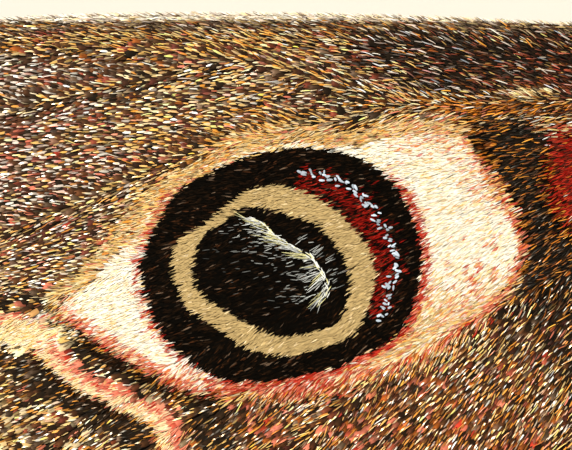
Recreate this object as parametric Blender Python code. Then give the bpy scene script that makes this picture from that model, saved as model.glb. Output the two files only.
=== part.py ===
"""A male emperor moth at life size, at rest on its six feet with its wings spread.

The head points along -Y, the left wings along +X and the back up +Z. Plan sizes of a wing are
given in its own two directions: out, from the wing joint towards the tip, and back, towards the
hind edge. The right side mirrors the left one.
"""

import math
import random

import bmesh
import bpy
import numpy as np
from mathutils import Vector, geometry

MM = 0.001
GAP = 0.3 * MM
WELD = 0.002 * MM

# Body: the cores, with the coat's locks standing out of them
THORAX_FRONT = -3.22 * MM
THORAX_BACK = 3.13 * MM
THORAX_MIDDLE_Z = 4.88 * MM
THORAX_HALF_WIDTH = 2.35 * MM
THORAX_HALF_HEIGHT = 1.95 * MM
THORAX_END_SHARE = 0.52
BODY_SQUARENESS = 2.3

ABDOMEN_LENGTH = 8.8 * MM
ABDOMEN_START_Z = 4.3 * MM
ABDOMEN_END_Z = 1.75 * MM
ABDOMEN_HALF_WIDTH = 2.05 * MM

HEAD_LENGTH = 2.02 * MM
HEAD_MIDDLE_Z = 4.32 * MM
HEAD_HALF_WIDTH = 0.78 * MM
HEAD_HALF_HEIGHT = 1.15 * MM

EYE_RADIUS = 0.69 * MM
EYE_DEPTH = 0.57 * MM

# Locks of the coat: length, width at the widest, thickness, and how far the tip stands off
LOCK_THICKNESS = 0.5 * MM
THORAX_LOCK = (2.1 * MM, 1.0 * MM, 0.42 * MM)
ABDOMEN_LOCK = (1.9 * MM, 1.05 * MM, 0.33 * MM)
HEAD_LOCK = (1.3 * MM, 0.75 * MM, 0.3 * MM)
THORAX_LOCK_PITCH = 1.3 * MM
ABDOMEN_LOCK_PITCH = 1.35 * MM
LOCK_SEED = 11

# Wings
WING_THICKNESS = 0.5 * MM
VEIN_RISE = 0.17 * MM
VEIN_HALF_WIDTH = 0.34 * MM
VEIN_STEP = 1.7 * MM
OUTLINE_STEP = 0.95 * MM
POINT_SPACE = 0.24 * MM
MEMBRANE_STEP = 2.3 * MM
WING_CREST_X = 11.96 * MM
WING_CREST_Z = 6.62 * MM
WING_DROOP = 11.30
HINDWING_DROP = 1.20 * MM
HINDWING_BACK_DROOP = 6.52

FOREWING_BASE = (2.39 * MM, -1.10 * MM)
FOREWING_SWEEP = math.radians(12)
FOREWING_ROOT = (-0.74 * MM, 1.56 * MM)
FOREWING_OUTLINE = [
    (2.02, -0.87), (5.52, -1.01), (9.20, -1.14), (14.08, -1.28), (18.77, -1.20), (22.63, -0.69),
    (25.76, 0.41), (27.42, 1.75), (27.69, 3.13), (26.68, 4.78), (24.66, 6.72), (22.26, 8.83),
    (19.87, 10.76), (17.76, 11.87), (16.01, 11.87), (11.50, 9.11), (6.44, 5.61), (2.39, 2.85),
]
FOREWING_VEINS = {
    "subcosta": [(1.38, -0.18), (7.36, -0.55), (12.88, -0.74), (17.48, -0.78), (21.16, -0.55)],
    "radius": [(1.38, 0.09), (5.52, 0.14), (9.16, 0.23), (11.87, 0.35), (14.54, -0.41), (18.77, -0.55), (23.92, 0.28)],
    "radial_fork": [(14.54, -0.41), (16.28, -0.09), (18.77, 0.49), (22.08, 1.10), (26.31, 2.21)],
    "media_1": [(11.55, 0.31), (13.71, 0.78), (15.41, 1.16), (16.65, 1.75), (18.77, 2.55), (22.54, 3.68), (25.76, 4.88)],
    "crossvein": [(13.71, 0.78), (14.26, 1.56), (14.17, 2.48), (13.34, 3.40), (12.79, 4.23), (12.79, 4.88)],
    "media_2": [(14.21, 2.02), (16.01, 2.85), (18.77, 4.09), (21.62, 5.52), (24.10, 6.81)],
    "media_3": [(13.16, 3.59), (15.27, 4.51), (17.94, 6.16), (20.24, 7.82), (22.08, 8.56)],
    "cubitus_1": [(1.38, 0.64), (5.06, 1.75), (9.16, 3.26), (11.68, 4.51), (14.17, 5.15), (16.19, 6.16), (18.40, 8.28), (20.06, 10.12)],
    "cubitus_2": [(11.68, 4.51), (13.52, 6.07), (15.82, 8.65), (17.85, 11.13)],
    "anal": [(1.38, 1.29), (5.06, 3.59), (9.20, 6.35), (13.34, 9.20), (15.92, 11.32)],
}

HINDWING_BASE = (2.39 * MM, 1.29 * MM)
HINDWING_SWEEP = math.radians(-18)
HINDWING_ROOT = (-0.74 * MM, 0.83 * MM)
HINDWING_OUTLINE = [
    (2.02, -1.38), (5.52, -2.12), (10.12, -2.48), (14.72, -1.93), (17.85, -0.46), (19.23, 2.21), (18.86, 5.52),
    (16.93, 8.83), (13.98, 11.32), (10.67, 12.60), (7.91, 12.42), (5.89, 10.67), (4.51, 7.54), (2.85, 4.05), (1.47, 1.84),
]
HINDWING_VEINS = {
    "costal": [(1.66, -0.83), (5.52, -1.47), (10.12, -1.66), (14.72, -1.10)],
    "radial": [(1.66, -0.46), (5.06, 0.18), (8.28, 0.83), (11.96, 0.92), (17.11, 1.10)],
    "media_1": [(8.28, 0.83), (11.50, 2.12), (17.85, 3.86)],
    "media_2": [(8.83, 2.67), (11.50, 4.23), (16.56, 7.54)],
    "media_3": [(8.10, 4.23), (10.49, 6.35), (14.35, 10.12)],
    "crossvein": [(8.28, 0.83), (9.02, 2.21), (8.46, 3.59), (7.36, 4.32)],
    "cubitus": [(1.66, -0.09), (4.05, 1.84), (7.36, 4.32), (9.38, 7.36), (11.59, 11.32)],
    "anal": [(1.66, 0.37), (4.05, 3.86), (6.26, 7.91), (8.28, 11.41)],
}

# Antennae: points of the left shaft above its foot on the head, and the rays to each side of it
ANTENNA_FOOT = (0.5, -4.6)
ANTENNA_SHAFT = [(0.72, -4.95, 6.1), (1.5, -6.2, 6.5), (2.65, -7.8, 6.65), (4.0, -9.25, 6.5), (5.4, -10.45, 6.1)]
ANTENNA_RADIUS = 0.27 * MM
RAY_PITCH = 0.74 * MM
RAY_WIDTH = 0.5 * MM
RAY_LENGTH = 2.5 * MM
RAY_LEAN = math.radians(32)
RAY_FIRST = 0.9 * MM

# Legs: (x, y) of the hip, then the knee, the ankle and the toe, for the left side
LEGS = {
    "foreleg": [(0.92, -2.12), (2.30, -4.32, 3.04), (3.04, -6.07, 0.69), (3.40, -7.82, 0.22)],
    "midleg": [(1.20, -0.37), (3.77, -0.74, 3.22), (5.24, -1.10, 0.69), (7.08, -1.56, 0.22)],
    "hindleg": [(1.10, 1.47), (3.31, 2.94, 3.04), (4.60, 4.78, 0.69), (5.61, 6.44, 0.22)],
}
COXA_LENGTH = 0.55 * MM
LEG_RADII = (0.5 * MM, 0.62 * MM, 0.42 * MM, 0.3 * MM, 0.26 * MM)
LEG_SIDES = 8


def clear_scene():
    for old in list(bpy.data.objects):
        bpy.data.objects.remove(old)


def material(name, colour, roughness):
    made = bpy.data.materials.new(name)
    made.use_nodes = True
    shader = made.node_tree.nodes["Principled BSDF"]
    shader.inputs["Base Color"].default_value = (*colour, 1)
    shader.inputs["Roughness"].default_value = roughness
    shader.inputs["Metallic"].default_value = 0.0
    return made


def add_object(name, points, faces, finish):
    """A named object of one mesh, with its normals pointing out."""
    mesh = bpy.data.meshes.new(name)
    mesh.from_pydata([tuple(p) for p in points], [], faces)
    mesh.materials.append(finish)
    work = bmesh.new()
    work.from_mesh(mesh)
    bmesh.ops.recalc_face_normals(work, faces=work.faces)
    bmesh.ops.triangulate(work, faces=work.faces)
    work.to_mesh(mesh)
    work.free()
    mesh.update()
    made = bpy.data.objects.new(name, mesh)
    bpy.context.scene.collection.objects.link(made)
    return made


def mirrored(source, name):
    """The right-hand copy of a left-hand object."""
    points = [(-v.co.x, v.co.y, v.co.z) for v in source.data.vertices]
    faces = [tuple(reversed(p.vertices)) for p in source.data.polygons]
    return add_object(name, points, faces, source.data.materials[0])


def smooth_path(points, step, closed=False):
    """Points about a step apart on the curve that runs evenly through the given ones."""
    given = [Vector(p) for p in points]
    ends = [given[-1]] if closed else [2 * given[0] - given[1]]
    after = [given[0], given[1]] if closed else [2 * given[-1] - given[-2]]
    ring = ends + given + after
    found = []
    for i in range(1, len(ring) - 2):
        p0, p1, p2, p3 = ring[i - 1:i + 3]
        pieces = max(1, round((p2 - p1).length / step))
        for j in range(pieces):
            t = j / pieces
            found.append(0.5 * (
                2 * p1 + (p2 - p0) * t
                + (2 * p0 - 5 * p1 + 4 * p2 - p3) * t ** 2
                + (3 * p1 - p0 - 3 * p2 + p3) * t ** 3
            ))
    if not closed:
        found.append(given[-1])
    return found


def loft(name, rings, finish):
    """A closed skin over rings of points, with a fan of triangles over each end."""
    sides = len(rings[0])
    points = [p for ring in rings for p in ring]
    faces = []
    for i in range(len(rings) - 1):
        for j in range(sides):
            a = i * sides + j
            b = i * sides + (j + 1) % sides
            faces.append((a, b, b + sides, a + sides))
    last = (len(rings) - 1) * sides
    faces.append(tuple(reversed(range(sides))))
    faces.append(tuple(range(last, last + sides)))
    return add_object(name, points, faces, finish)


def ring_point(y, z, half_width, half_height, angle):
    """A point of a ring across the body, a little squarer than an ellipse; the angle starts at +X."""
    c, s = math.cos(angle), math.sin(angle)
    size = (abs(c) ** BODY_SQUARENESS + abs(s) ** BODY_SQUARENESS) ** (-1 / BODY_SQUARENESS)
    return Vector((half_width * size * c, y, z + half_height * size * s))


def body_ring(station, sides):
    return [ring_point(*station, -math.tau * i / sides) for i in range(sides)]


def thorax_share(y):
    """How full the thorax is at y, from its ends to 1 in the middle."""
    middle = (THORAX_FRONT + THORAX_BACK) / 2
    along = (y - middle) / (THORAX_BACK - middle)
    return THORAX_END_SHARE + (1 - THORAX_END_SHARE) * math.sqrt(max(0.0, 1 - along ** 2))


def thorax_side(y, z):
    """The half width of the thorax at that place along it and height."""
    share = thorax_share(y)
    up = min(1.0, abs(z - THORAX_MIDDLE_Z) / (THORAX_HALF_HEIGHT * share))
    return THORAX_HALF_WIDTH * share * (1 - up ** BODY_SQUARENESS) ** (1 / BODY_SQUARENESS)


def thorax_underside(x, y):
    """The height of the thorax's lower surface at that place in plan."""
    share = thorax_share(y)
    across = min(1.0, abs(x) / (THORAX_HALF_WIDTH * share))
    return THORAX_MIDDLE_Z - THORAX_HALF_HEIGHT * share * (1 - across ** BODY_SQUARENESS) ** (1 / BODY_SQUARENESS)


def thorax_station(t):
    """The thorax's ring at the share t of its length, as (y, z, half width, half height)."""
    y = THORAX_FRONT + (THORAX_BACK - THORAX_FRONT) * t
    share = thorax_share(y)
    return y, THORAX_MIDDLE_Z, THORAX_HALF_WIDTH * share, THORAX_HALF_HEIGHT * share


def abdomen_station(t):
    """The abdomen's ring at the share t of its length: full near the front, narrow at the end."""
    if t < 0.31:
        share = 0.58 + 0.42 * math.sin(math.pi / 2 * t / 0.31)
    else:
        share = 1.0 - 0.6 * ((t - 0.31) / 0.69) ** 1.9 - 0.3 * max(0.0, (t - 0.88) / 0.12) ** 2
    z = ABDOMEN_START_Z + (ABDOMEN_END_Z - ABDOMEN_START_Z) * t ** 0.85
    half = ABDOMEN_HALF_WIDTH * share
    return THORAX_BACK + GAP + ABDOMEN_LENGTH * t, z, half, half * 0.93


def head_station(t):
    """The head's ring at the share t of its length, from the face to the neck."""
    share = 0.45 + 0.55 * math.sqrt(1 - (1 - min(1.0, t / 0.55)) ** 2)
    y = THORAX_FRONT - GAP - HEAD_LENGTH * (1 - t)
    return y, HEAD_MIDDLE_Z, HEAD_HALF_WIDTH * share, HEAD_HALF_HEIGHT * share


def head_top(x, y):
    """The height of the head's upper surface at that place in plan."""
    t = 1 - (THORAX_FRONT - GAP - y) / HEAD_LENGTH
    _, z, half_width, half_height = head_station(t)
    return z + half_height * (1 - (abs(x) / half_width) ** BODY_SQUARENESS) ** (1 / BODY_SQUARENESS)


def lock_mesh(name, root, along, up, size, finish):
    """One lock of the coat: a flat blade that rises out of the core, bends over and ends in a point."""
    length, width, lift = size
    across = along.cross(up).normalized()
    rings = []
    for share, wide, rise in ((-0.12, 0.62, -0.75), (0.3, 1.0, 0.5), (0.68, 0.78, 0.95)):
        middle = root + along * length * share + up * lift * rise
        half_width = across * width * wide / 2
        half_thickness = up * LOCK_THICKNESS * (0.5 if share < 0.5 else 0.44)
        rings.append([middle + half_width, middle + half_thickness, middle - half_width, middle - half_thickness])
    tip = root + along * length + up * lift * 0.72
    points = [p for ring in rings for p in ring] + [tip]
    faces = [(3, 2, 1, 0)]
    for i in (0, 4):
        for j in range(4):
            k = (j + 1) % 4
            faces.append((i + j, i + k, i + k + 4, i + j + 4))
    faces += [(8 + j, 8 + (j + 1) % 4, 12) for j in range(4)]
    return add_object(name, points, faces, finish)


def in_wing(point, above, below):
    """True where a point is inside a wing root or closer to it than the given heights."""
    x, y = abs(point.x), point.y
    for base, sweep, root, height in WING_ROOTS:
        front = in_plan((0, root[0]), base, sweep).y - 0.55 * MM
        back = in_plan((0, root[1]), base, sweep).y + 0.55 * MM
        if front < y < back and -below < point.z - height(x, y) < above:
            if x > thorax_side(y, height(x, y)) - 0.15 * MM:
                return True
    return False


def near_leg(point):
    """True where a point is close to a coxa, the first piece of a leg."""
    for joints in LEGS.values():
        hip = Vector((joints[0][0] * MM, joints[0][1] * MM))
        away = (Vector((abs(point.x), point.y)) - hip).length
        if away < LEG_RADII[0] + 0.75 * MM and point.z < thorax_underside(hip.x, hip.y) + 0.35 * MM:
            return True
    return False


def body_locks(name, station, shares, pitch, size, allowed, finish, lean=0.0):
    """Locks in staggered rows round a body section, with their tips to the back."""
    chance = random.Random(LOCK_SEED + len(name))
    made = []
    for row, t in enumerate(shares):
        here, ahead = station(t), station(min(1.0, t + 0.04))
        round_length = math.pi * (here[2] + here[3])
        count = max(3, round(round_length / pitch))
        for i in range(count):
            angle = math.tau * (i + 0.5 * (row % 2) + chance.uniform(-0.16, 0.16)) / count
            root = ring_point(*here, angle)
            along = (ring_point(*ahead, angle) - root).normalized()
            beside = ring_point(*here, angle + 0.05) - ring_point(*here, angle - 0.05)
            up = beside.cross(along).normalized()
            if up.dot(root - Vector((0, root.y, here[1]))) < 0:
                up.negate()
            side = up.cross(along)
            along = (along + side * chance.uniform(-0.2, 0.2) + up * lean).normalized()
            up = (up - along * up.dot(along)).normalized()
            length = size[0] * chance.uniform(0.85, 1.12)
            tip = root + along * length + up * size[2] * 0.72
            middle = root + along * length * 0.6 + up * size[2]
            if allowed(tip) and allowed(middle) and allowed(root + up * size[2]):
                made.append(lock_mesh(f"{name}_lock", root, along, up, (length, size[1], size[2]), finish))
    return made


def fused(core, pieces):
    """The core with the pieces joined on in one union; only the largest closed surface stays."""
    group = bpy.data.collections.new("pieces")
    bpy.context.scene.collection.children.link(group)
    for piece in pieces:
        group.objects.link(piece)
        bpy.context.scene.collection.objects.unlink(piece)
    union = core.modifiers.new("pieces", "BOOLEAN")
    union.operation = "UNION"
    union.operand_type = "COLLECTION"
    union.collection = group
    union.solver = "EXACT"
    bpy.context.view_layer.update()
    joined = bpy.data.meshes.new_from_object(core.evaluated_get(bpy.context.evaluated_depsgraph_get()))
    core.modifiers.remove(union)
    for piece in pieces:
        bpy.data.objects.remove(piece)
    bpy.data.collections.remove(group)
    work = bmesh.new()
    work.from_mesh(joined)
    bmesh.ops.remove_doubles(work, verts=work.verts, dist=WELD)
    bmesh.ops.dissolve_degenerate(work, edges=work.edges, dist=WELD)
    bmesh.ops.triangulate(work, faces=work.faces)
    keep_largest(work)
    work.to_mesh(joined)
    work.free()
    core.data = joined
    return core


def keep_largest(work):
    """Removes every closed surface but the one with the most faces."""
    left = set(work.faces)
    pieces = []
    while left:
        reached = [left.pop()]
        piece = list(reached)
        while reached:
            face = reached.pop()
            for edge in face.edges:
                for other in edge.link_faces:
                    if other in left:
                        left.remove(other)
                        reached.append(other)
                        piece.append(other)
        pieces.append(piece)
    pieces.sort(key=len)
    spare = [face for piece in pieces[:-1] for face in piece]
    bmesh.ops.delete(work, geom=spare, context="FACES")
    bmesh.ops.delete(work, geom=[v for v in work.verts if not v.link_faces], context="VERTS")


def make_thorax(finish):
    core = loft("thorax", [body_ring(thorax_station(i / 10), 22) for i in range(11)], finish)

    def allowed(point):
        over_abdomen = point.z > THORAX_MIDDLE_Z + 0.8 * MM
        return (
            point.y < THORAX_BACK + (0.9 if over_abdomen else 0.1) * MM
            and not in_wing(point, 0.9 * MM, 0.9 * MM)
            and not near_leg(point)
        )

    shares = [0.02, 0.16, 0.3, 0.44, 0.58, 0.72, 0.86]
    return fused(core, body_locks(
        "thorax", thorax_station, shares, THORAX_LOCK_PITCH, THORAX_LOCK, allowed, finish, 0.12
    ))


def make_abdomen(finish):
    stations = [0.0, 0.09, 0.18, 0.27, 0.36, 0.46, 0.56, 0.66, 0.76, 0.88, 0.95, 1.0]
    core = loft("abdomen", [body_ring(abdomen_station(t), 18) for t in stations], finish)

    def allowed(point):
        return point.z > 0.2 * MM and point.y > THORAX_BACK + GAP + 0.3 * MM

    shares = [0.08, 0.22, 0.36, 0.5, 0.64, 0.77, 0.88, 0.95]
    return fused(core, body_locks(
        "abdomen", abdomen_station, shares, ABDOMEN_LOCK_PITCH, ABDOMEN_LOCK, allowed, finish, 0.06
    ))


def make_head(finish):
    core = loft("head", [body_ring(head_station(i / 7), 16) for i in range(8)], finish)
    foot = Vector(ANTENNA_FOOT) * MM

    def allowed(point):
        plan = Vector((abs(point.x), point.y))
        return (
            abs(point.x) < HEAD_HALF_WIDTH + 0.02 * MM
            and (point.z < HEAD_MIDDLE_Z or (plan - foot).length > ANTENNA_RADIUS + 0.45 * MM)
            and point.y < THORAX_FRONT - 0.15 * MM
        )

    return fused(core, body_locks(
        "head", head_station, [0.04, 0.26, 0.5], 0.8 * MM, HEAD_LOCK, allowed, finish, 0.2
    ))


def make_eye(finish):
    """The left eye, a dome with its flat face along the side of the head."""
    x = HEAD_HALF_WIDTH + GAP
    y = THORAX_FRONT - GAP - HEAD_LENGTH * 0.42
    rings = []
    for i in range(6):
        angle = math.radians(15) * i
        radius = EYE_RADIUS * math.cos(angle)
        ring = []
        for j in range(16):
            turn = math.tau * j / 16
            ring.append(Vector((
                x + EYE_DEPTH * math.sin(angle), y + radius * math.cos(turn),
                HEAD_MIDDLE_Z + radius * math.sin(turn),
            )))
        rings.append(ring)
    return loft("eye_left", rings, finish)


def tube(name, centres, radii, sides, first_across, finish, floor=None):
    """A tube along a path, with its rings square to it, untwisted, and never below the floor."""
    rings = []
    across = first_across
    for i, centre in enumerate(centres):
        ahead = centres[min(i + 1, len(centres) - 1)] - centres[max(i - 1, 0)]
        ahead.normalize()
        across = (across - ahead * across.dot(ahead)).normalized()
        up = across.cross(ahead)
        ring = []
        for j in range(sides):
            turn = math.tau * (j + 0.5) / sides
            point = centre + radii[i] * (across * math.cos(turn) + up * math.sin(turn))
            if floor is not None:
                point.z = max(point.z, floor)
            ring.append(point)
        rings.append(ring)
    return loft(name, rings, finish)


def make_leg(name, joints, finish):
    """A left leg: a short coxa straight down from the thorax, femur, tibia, and a foot on the floor."""
    hip_x, hip_y = joints[0][0] * MM, joints[0][1] * MM
    top = Vector((hip_x, hip_y, thorax_underside(hip_x, hip_y) - GAP))
    low = top - Vector((0, 0, COXA_LENGTH))
    knee, ankle, toe = [Vector(p) * MM for p in joints[1:]]
    centres = [
        top, low, low.lerp(knee, 0.55), knee, knee.lerp(ankle, 0.35), ankle,
        ankle.lerp(toe, 0.3) * 1.0, toe,
    ]
    centres[6].z = toe.z
    root, femur, tibia, shin, foot = LEG_RADII
    radii = [root, root, femur, tibia, tibia, shin, foot, foot * 0.95]
    level = (toe - top).cross(Vector((0, 0, 1))).normalized()
    return tube(f"{name}_left", centres, radii, LEG_SIDES, level, finish, floor=0.0)


def in_plan(place, base, sweep):
    """A point given as (out, back) from a wing joint, as (x, y)."""
    out, back = place
    return Vector((
        base[0] + out * math.cos(sweep) + back * math.sin(sweep),
        base[1] - out * math.sin(sweep) + back * math.cos(sweep),
    ))


def forewing_height(x, y):
    """The middle surface of the forewing: an arch from the joint to a lower tip."""
    return WING_CREST_Z - WING_DROOP * (x - WING_CREST_X) ** 2


def hindwing_height(x, y):
    """The hindwing lies under the forewing and falls towards its hind edge."""
    fall = HINDWING_BACK_DROOP * max(0.0, y - HINDWING_BASE[1]) ** 2
    return forewing_height(x, y) - HINDWING_DROP - fall


WING_ROOTS = (
    (FOREWING_BASE, FOREWING_SWEEP, FOREWING_ROOT, forewing_height),
    (HINDWING_BASE, HINDWING_SWEEP, HINDWING_ROOT, hindwing_height),
)


def root_edge(base, sweep, root, height):
    """Points of a wing's root, from its hind to its front corner, at a gap from the thorax."""
    edge = []
    for i in range(4):
        back = root[1] + (root[0] - root[1]) * i / 3
        y = in_plan((0, back), base, sweep).y
        x = base[0]
        for _ in range(4):
            x = thorax_side(y, height(x, y)) + GAP
        edge.append(Vector((x, y)))
    return edge


def polyline_distance(point, path):
    """The shortest distance in plan from a point to a line through points, and how far along it."""
    best, best_along, walked = 1.0, 0.0, 0.0
    for a, b in zip(path, path[1:]):
        side = b - a
        share = max(0.0, min(1.0, (point - a).dot(side) / side.length_squared))
        away = (point - a - side * share).length
        if away < best:
            best, best_along = away, walked + side.length * share
        walked += side.length
    return best, best_along / walked


def vein_rise(point, veins):
    """The height of the ridges over the membrane: a fold with straight sides, lower towards its end."""
    rise = 0.0
    for path in veins:
        away, along = polyline_distance(point, path)
        fold = max(0.0, 1 - away / VEIN_HALF_WIDTH)
        rise = max(rise, fold * VEIN_RISE * (1 - 0.6 * along ** 3))
    return rise


def make_wing(name, base, sweep, root, outline, veins, height, finish):
    """A left wing: its plan is cut into triangles along the outline and veins, alike on both faces."""
    given = [in_plan((o * MM, b * MM), base, sweep) for o, b in outline]
    edge = root_edge(base, sweep, root, height)
    border = edge[:-1] + smooth_path([edge[-1]] + given + [edge[0]], OUTLINE_STEP)[:-1]
    paths = [
        smooth_path([in_plan((o * MM, b * MM), base, sweep) for o, b in path], VEIN_STEP)
        for path in veins.values()
    ]
    points = list(border)
    edges = [(i, (i + 1) % len(border)) for i in range(len(border))]
    loose = []
    for path in paths:
        others = [other for other in paths if other is not path]
        for aside in (0.0, -1.0, 1.0):
            before = None
            for i, p in enumerate(path):
                along = path[min(i + 1, len(path) - 1)] - path[max(i - 1, 0)]
                across = Vector((-along.y, along.x)).normalized()
                spot = p + across * aside * VEIN_HALF_WIDTH
                nearest = min(polyline_distance(spot, other)[0] for other in others)
                if aside != 0 and nearest < 1.25 * VEIN_HALF_WIDTH:
                    before = None
                    if nearest > 0.5 * VEIN_HALF_WIDTH:
                        loose.append(spot)
                    continue
                points.append(spot)
                if before is not None:
                    edges.append((before, len(points) - 1))
                before = len(points) - 1
    loop = border + [border[0]]
    low = [min(p[i] for p in border) for i in (0, 1)]
    high = [max(p[i] for p in border) for i in (0, 1)]
    for x in np.arange(low[0], high[0], MEMBRANE_STEP):
        for y in np.arange(low[1], high[1], MEMBRANE_STEP):
            spot = Vector((x, y))
            near_vein = min(polyline_distance(spot, path)[0] for path in paths)
            if min(near_vein, polyline_distance(spot, loop)[0]) > 2.2 * VEIN_HALF_WIDTH:
                points.append(spot)
    for spot in loose:
        if min((spot - p).length for p in points) > POINT_SPACE:
            points.append(spot)
    scaled = [p / MM for p in points]
    plan, _, triangles, *_ = geometry.delaunay_2d_cdt(
        scaled, edges, [list(range(len(border)))], 1, 1e-4
    )
    plan = [p * MM for p in plan]
    count = len(plan)
    rises = [vein_rise(p, paths) for p in plan]
    middles = [height(p.x, p.y) for p in plan]
    upper = [(p.x, p.y, m + WING_THICKNESS / 2 + r) for p, m, r in zip(plan, middles, rises)]
    under = [(p.x, p.y, m - WING_THICKNESS / 2 - r) for p, m, r in zip(plan, middles, rises)]
    faces = []
    rim = {}
    for triangle in triangles:
        a, b, c = triangle
        if (plan[b] - plan[a]).cross(plan[c] - plan[a]) < 0:
            a, b, c = a, c, b
        faces.append((a, b, c))
        faces.append((c + count, b + count, a + count))
        for pair in ((a, b), (b, c), (c, a)):
            if (pair[1], pair[0]) in rim:
                del rim[(pair[1], pair[0])]
            else:
                rim[pair] = True
    for a, b in rim:
        faces.append((b, a, a + count))
        faces.append((b, a + count, b + count))
    return add_object(f"{name}_left", upper + under, faces, finish)


def make_antenna(finish):
    """The left feeler: a shaft from its foot on the head, with a row of rays along either side."""
    foot_x, foot_y = ANTENNA_FOOT[0] * MM, ANTENNA_FOOT[1] * MM
    foot = Vector((foot_x, foot_y, head_top(foot_x, foot_y) + GAP))
    path = [foot] + smooth_path(
        [foot + Vector((0.03, -0.05, 0.32)) * MM] + [Vector(p) * MM for p in ANTENNA_SHAFT], 0.75 * MM
    )
    last = len(path) - 1
    radii = [ANTENNA_RADIUS * (1 if i < last else 0.6) for i in range(len(path))]
    shaft = tube("antenna_left", path, radii, 6, Vector((1, 0.6, 0)).normalized(), finish)
    walked = [0.0]
    for a, b in zip(path, path[1:]):
        walked.append(walked[-1] + (b - a).length)
    rays = []
    distance = RAY_FIRST
    while distance < walked[-1] - 0.6 * MM:
        i = max(k for k, w in enumerate(walked[:-1]) if w <= distance)
        middle = path[i].lerp(path[i + 1], (distance - walked[i]) / (walked[i + 1] - walked[i]))
        ahead = (path[i + 1] - path[i]).normalized()
        across = ahead.cross(Vector((0, 0, 1))).normalized()
        up = across.cross(ahead)
        share = (distance - RAY_FIRST) / (walked[-1] - RAY_FIRST)
        length = RAY_LENGTH * (0.3 + 0.7 * math.sin(math.pi * (0.12 + 0.82 * share)) ** 0.7)
        for side in (-1, 1):
            rays.append(ray_mesh(middle, ahead, across * side, up, length, finish))
        distance += RAY_PITCH
    return fused(shaft, rays)


def ray_mesh(root, ahead, aside, up, length, finish):
    """One ray of a feeler: a tapered bar that leans to the tip and bends down at its end."""
    rings = []
    for share, wide in ((0.0, 1.0), (0.45, 0.94), (0.8, 0.62)):
        lean = RAY_LEAN + 0.35 * share
        middle = root + (aside * math.cos(lean) + ahead * math.sin(lean)) * length * share
        middle -= up * length * 0.16 * share ** 2
        along = aside * math.cos(lean) + ahead * math.sin(lean)
        across = along.cross(up).normalized() * RAY_WIDTH * wide / 2
        thick = up * RAY_WIDTH * wide / 2
        rings.append([middle + across, middle + thick, middle - across, middle - thick])
    lean = RAY_LEAN + 0.42
    tip = root + (aside * math.cos(lean) + ahead * math.sin(lean)) * length - up * length * 0.16
    points = [p for ring in rings for p in ring] + [tip]
    faces = [(3, 2, 1, 0)]
    for i in (0, 4):
        for j in range(4):
            k = (j + 1) % 4
            faces.append((i + j, i + k, i + k + 4, i + j + 4))
    faces += [(8 + j, 8 + (j + 1) % 4, 12) for j in range(4)]
    return add_object("ray", points, faces, finish)


def centre_on_floor():
    """Moves everything together so that the origin is under the middle of the moth, at floor level."""
    corners = [v.co for o in bpy.context.scene.objects for v in o.data.vertices]
    low = [min(c[i] for c in corners) for i in range(3)]
    high = [max(c[i] for c in corners) for i in range(3)]
    shift = Vector((-(low[0] + high[0]) / 2, -(low[1] + high[1]) / 2, -low[2]))
    for o in bpy.context.scene.objects:
        for v in o.data.vertices:
            v.co += shift


def main():
    clear_scene()
    fur = material("body_fur", (0.30, 0.22, 0.17), 0.9)
    belly = material("abdomen_fur", (0.45, 0.27, 0.15), 0.9)
    eye = material("eye", (0.03, 0.02, 0.02), 0.2)
    feeler = material("antenna", (0.50, 0.28, 0.10), 0.8)
    leg = material("leg", (0.33, 0.20, 0.14), 0.85)
    fore = material("forewing", (0.36, 0.25, 0.20), 0.75)
    hind = material("hindwing", (0.72, 0.38, 0.10), 0.75)
    make_thorax(fur)
    make_abdomen(belly)
    make_head(fur)
    left = [
        make_eye(eye),
        make_antenna(feeler),
        make_wing("forewing", FOREWING_BASE, FOREWING_SWEEP, FOREWING_ROOT, FOREWING_OUTLINE,
                  FOREWING_VEINS, forewing_height, fore),
        make_wing("hindwing", HINDWING_BASE, HINDWING_SWEEP, HINDWING_ROOT, HINDWING_OUTLINE,
                  HINDWING_VEINS, hindwing_height, hind),
    ]
    for name, joints in LEGS.items():
        left.append(make_leg(name, joints, leg))
    for made in left:
        mirrored(made, made.name.replace("_left", "_right"))
    centre_on_floor()


main()
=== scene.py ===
"""The coat, skin, eyes and setting of a male emperor moth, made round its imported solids.

Lengths in this script are millimetres in the moth's own frame, until a mesh is made. A place on a
wing is given by two distances from the wing's joint: out, towards the tip, and back, towards the
hind edge. Near the eyespot of the forewing a place is also given from the middle of the spot:
towards the body, and back.
"""

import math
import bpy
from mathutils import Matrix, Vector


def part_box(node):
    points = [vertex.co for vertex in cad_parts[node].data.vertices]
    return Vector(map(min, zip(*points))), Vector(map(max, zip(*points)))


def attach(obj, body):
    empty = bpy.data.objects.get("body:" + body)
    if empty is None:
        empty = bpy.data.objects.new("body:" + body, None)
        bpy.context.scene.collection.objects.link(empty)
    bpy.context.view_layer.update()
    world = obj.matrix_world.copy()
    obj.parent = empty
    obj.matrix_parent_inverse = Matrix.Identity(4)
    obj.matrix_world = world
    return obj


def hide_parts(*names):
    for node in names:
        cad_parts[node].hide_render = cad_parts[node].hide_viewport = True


bl_info = {
    "name": "Emperor Moth",
    "version": (1, 0, 0),
    "blender": (4, 5, 0),
    "location": "View3D > Sidebar > Moth",
    "description": "Builds the scales, fur, feelers and skin of a life-size emperor moth",
    "category": "Add Mesh",
}

import bpy
import numpy as np
from mathutils import Matrix, Vector

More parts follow.
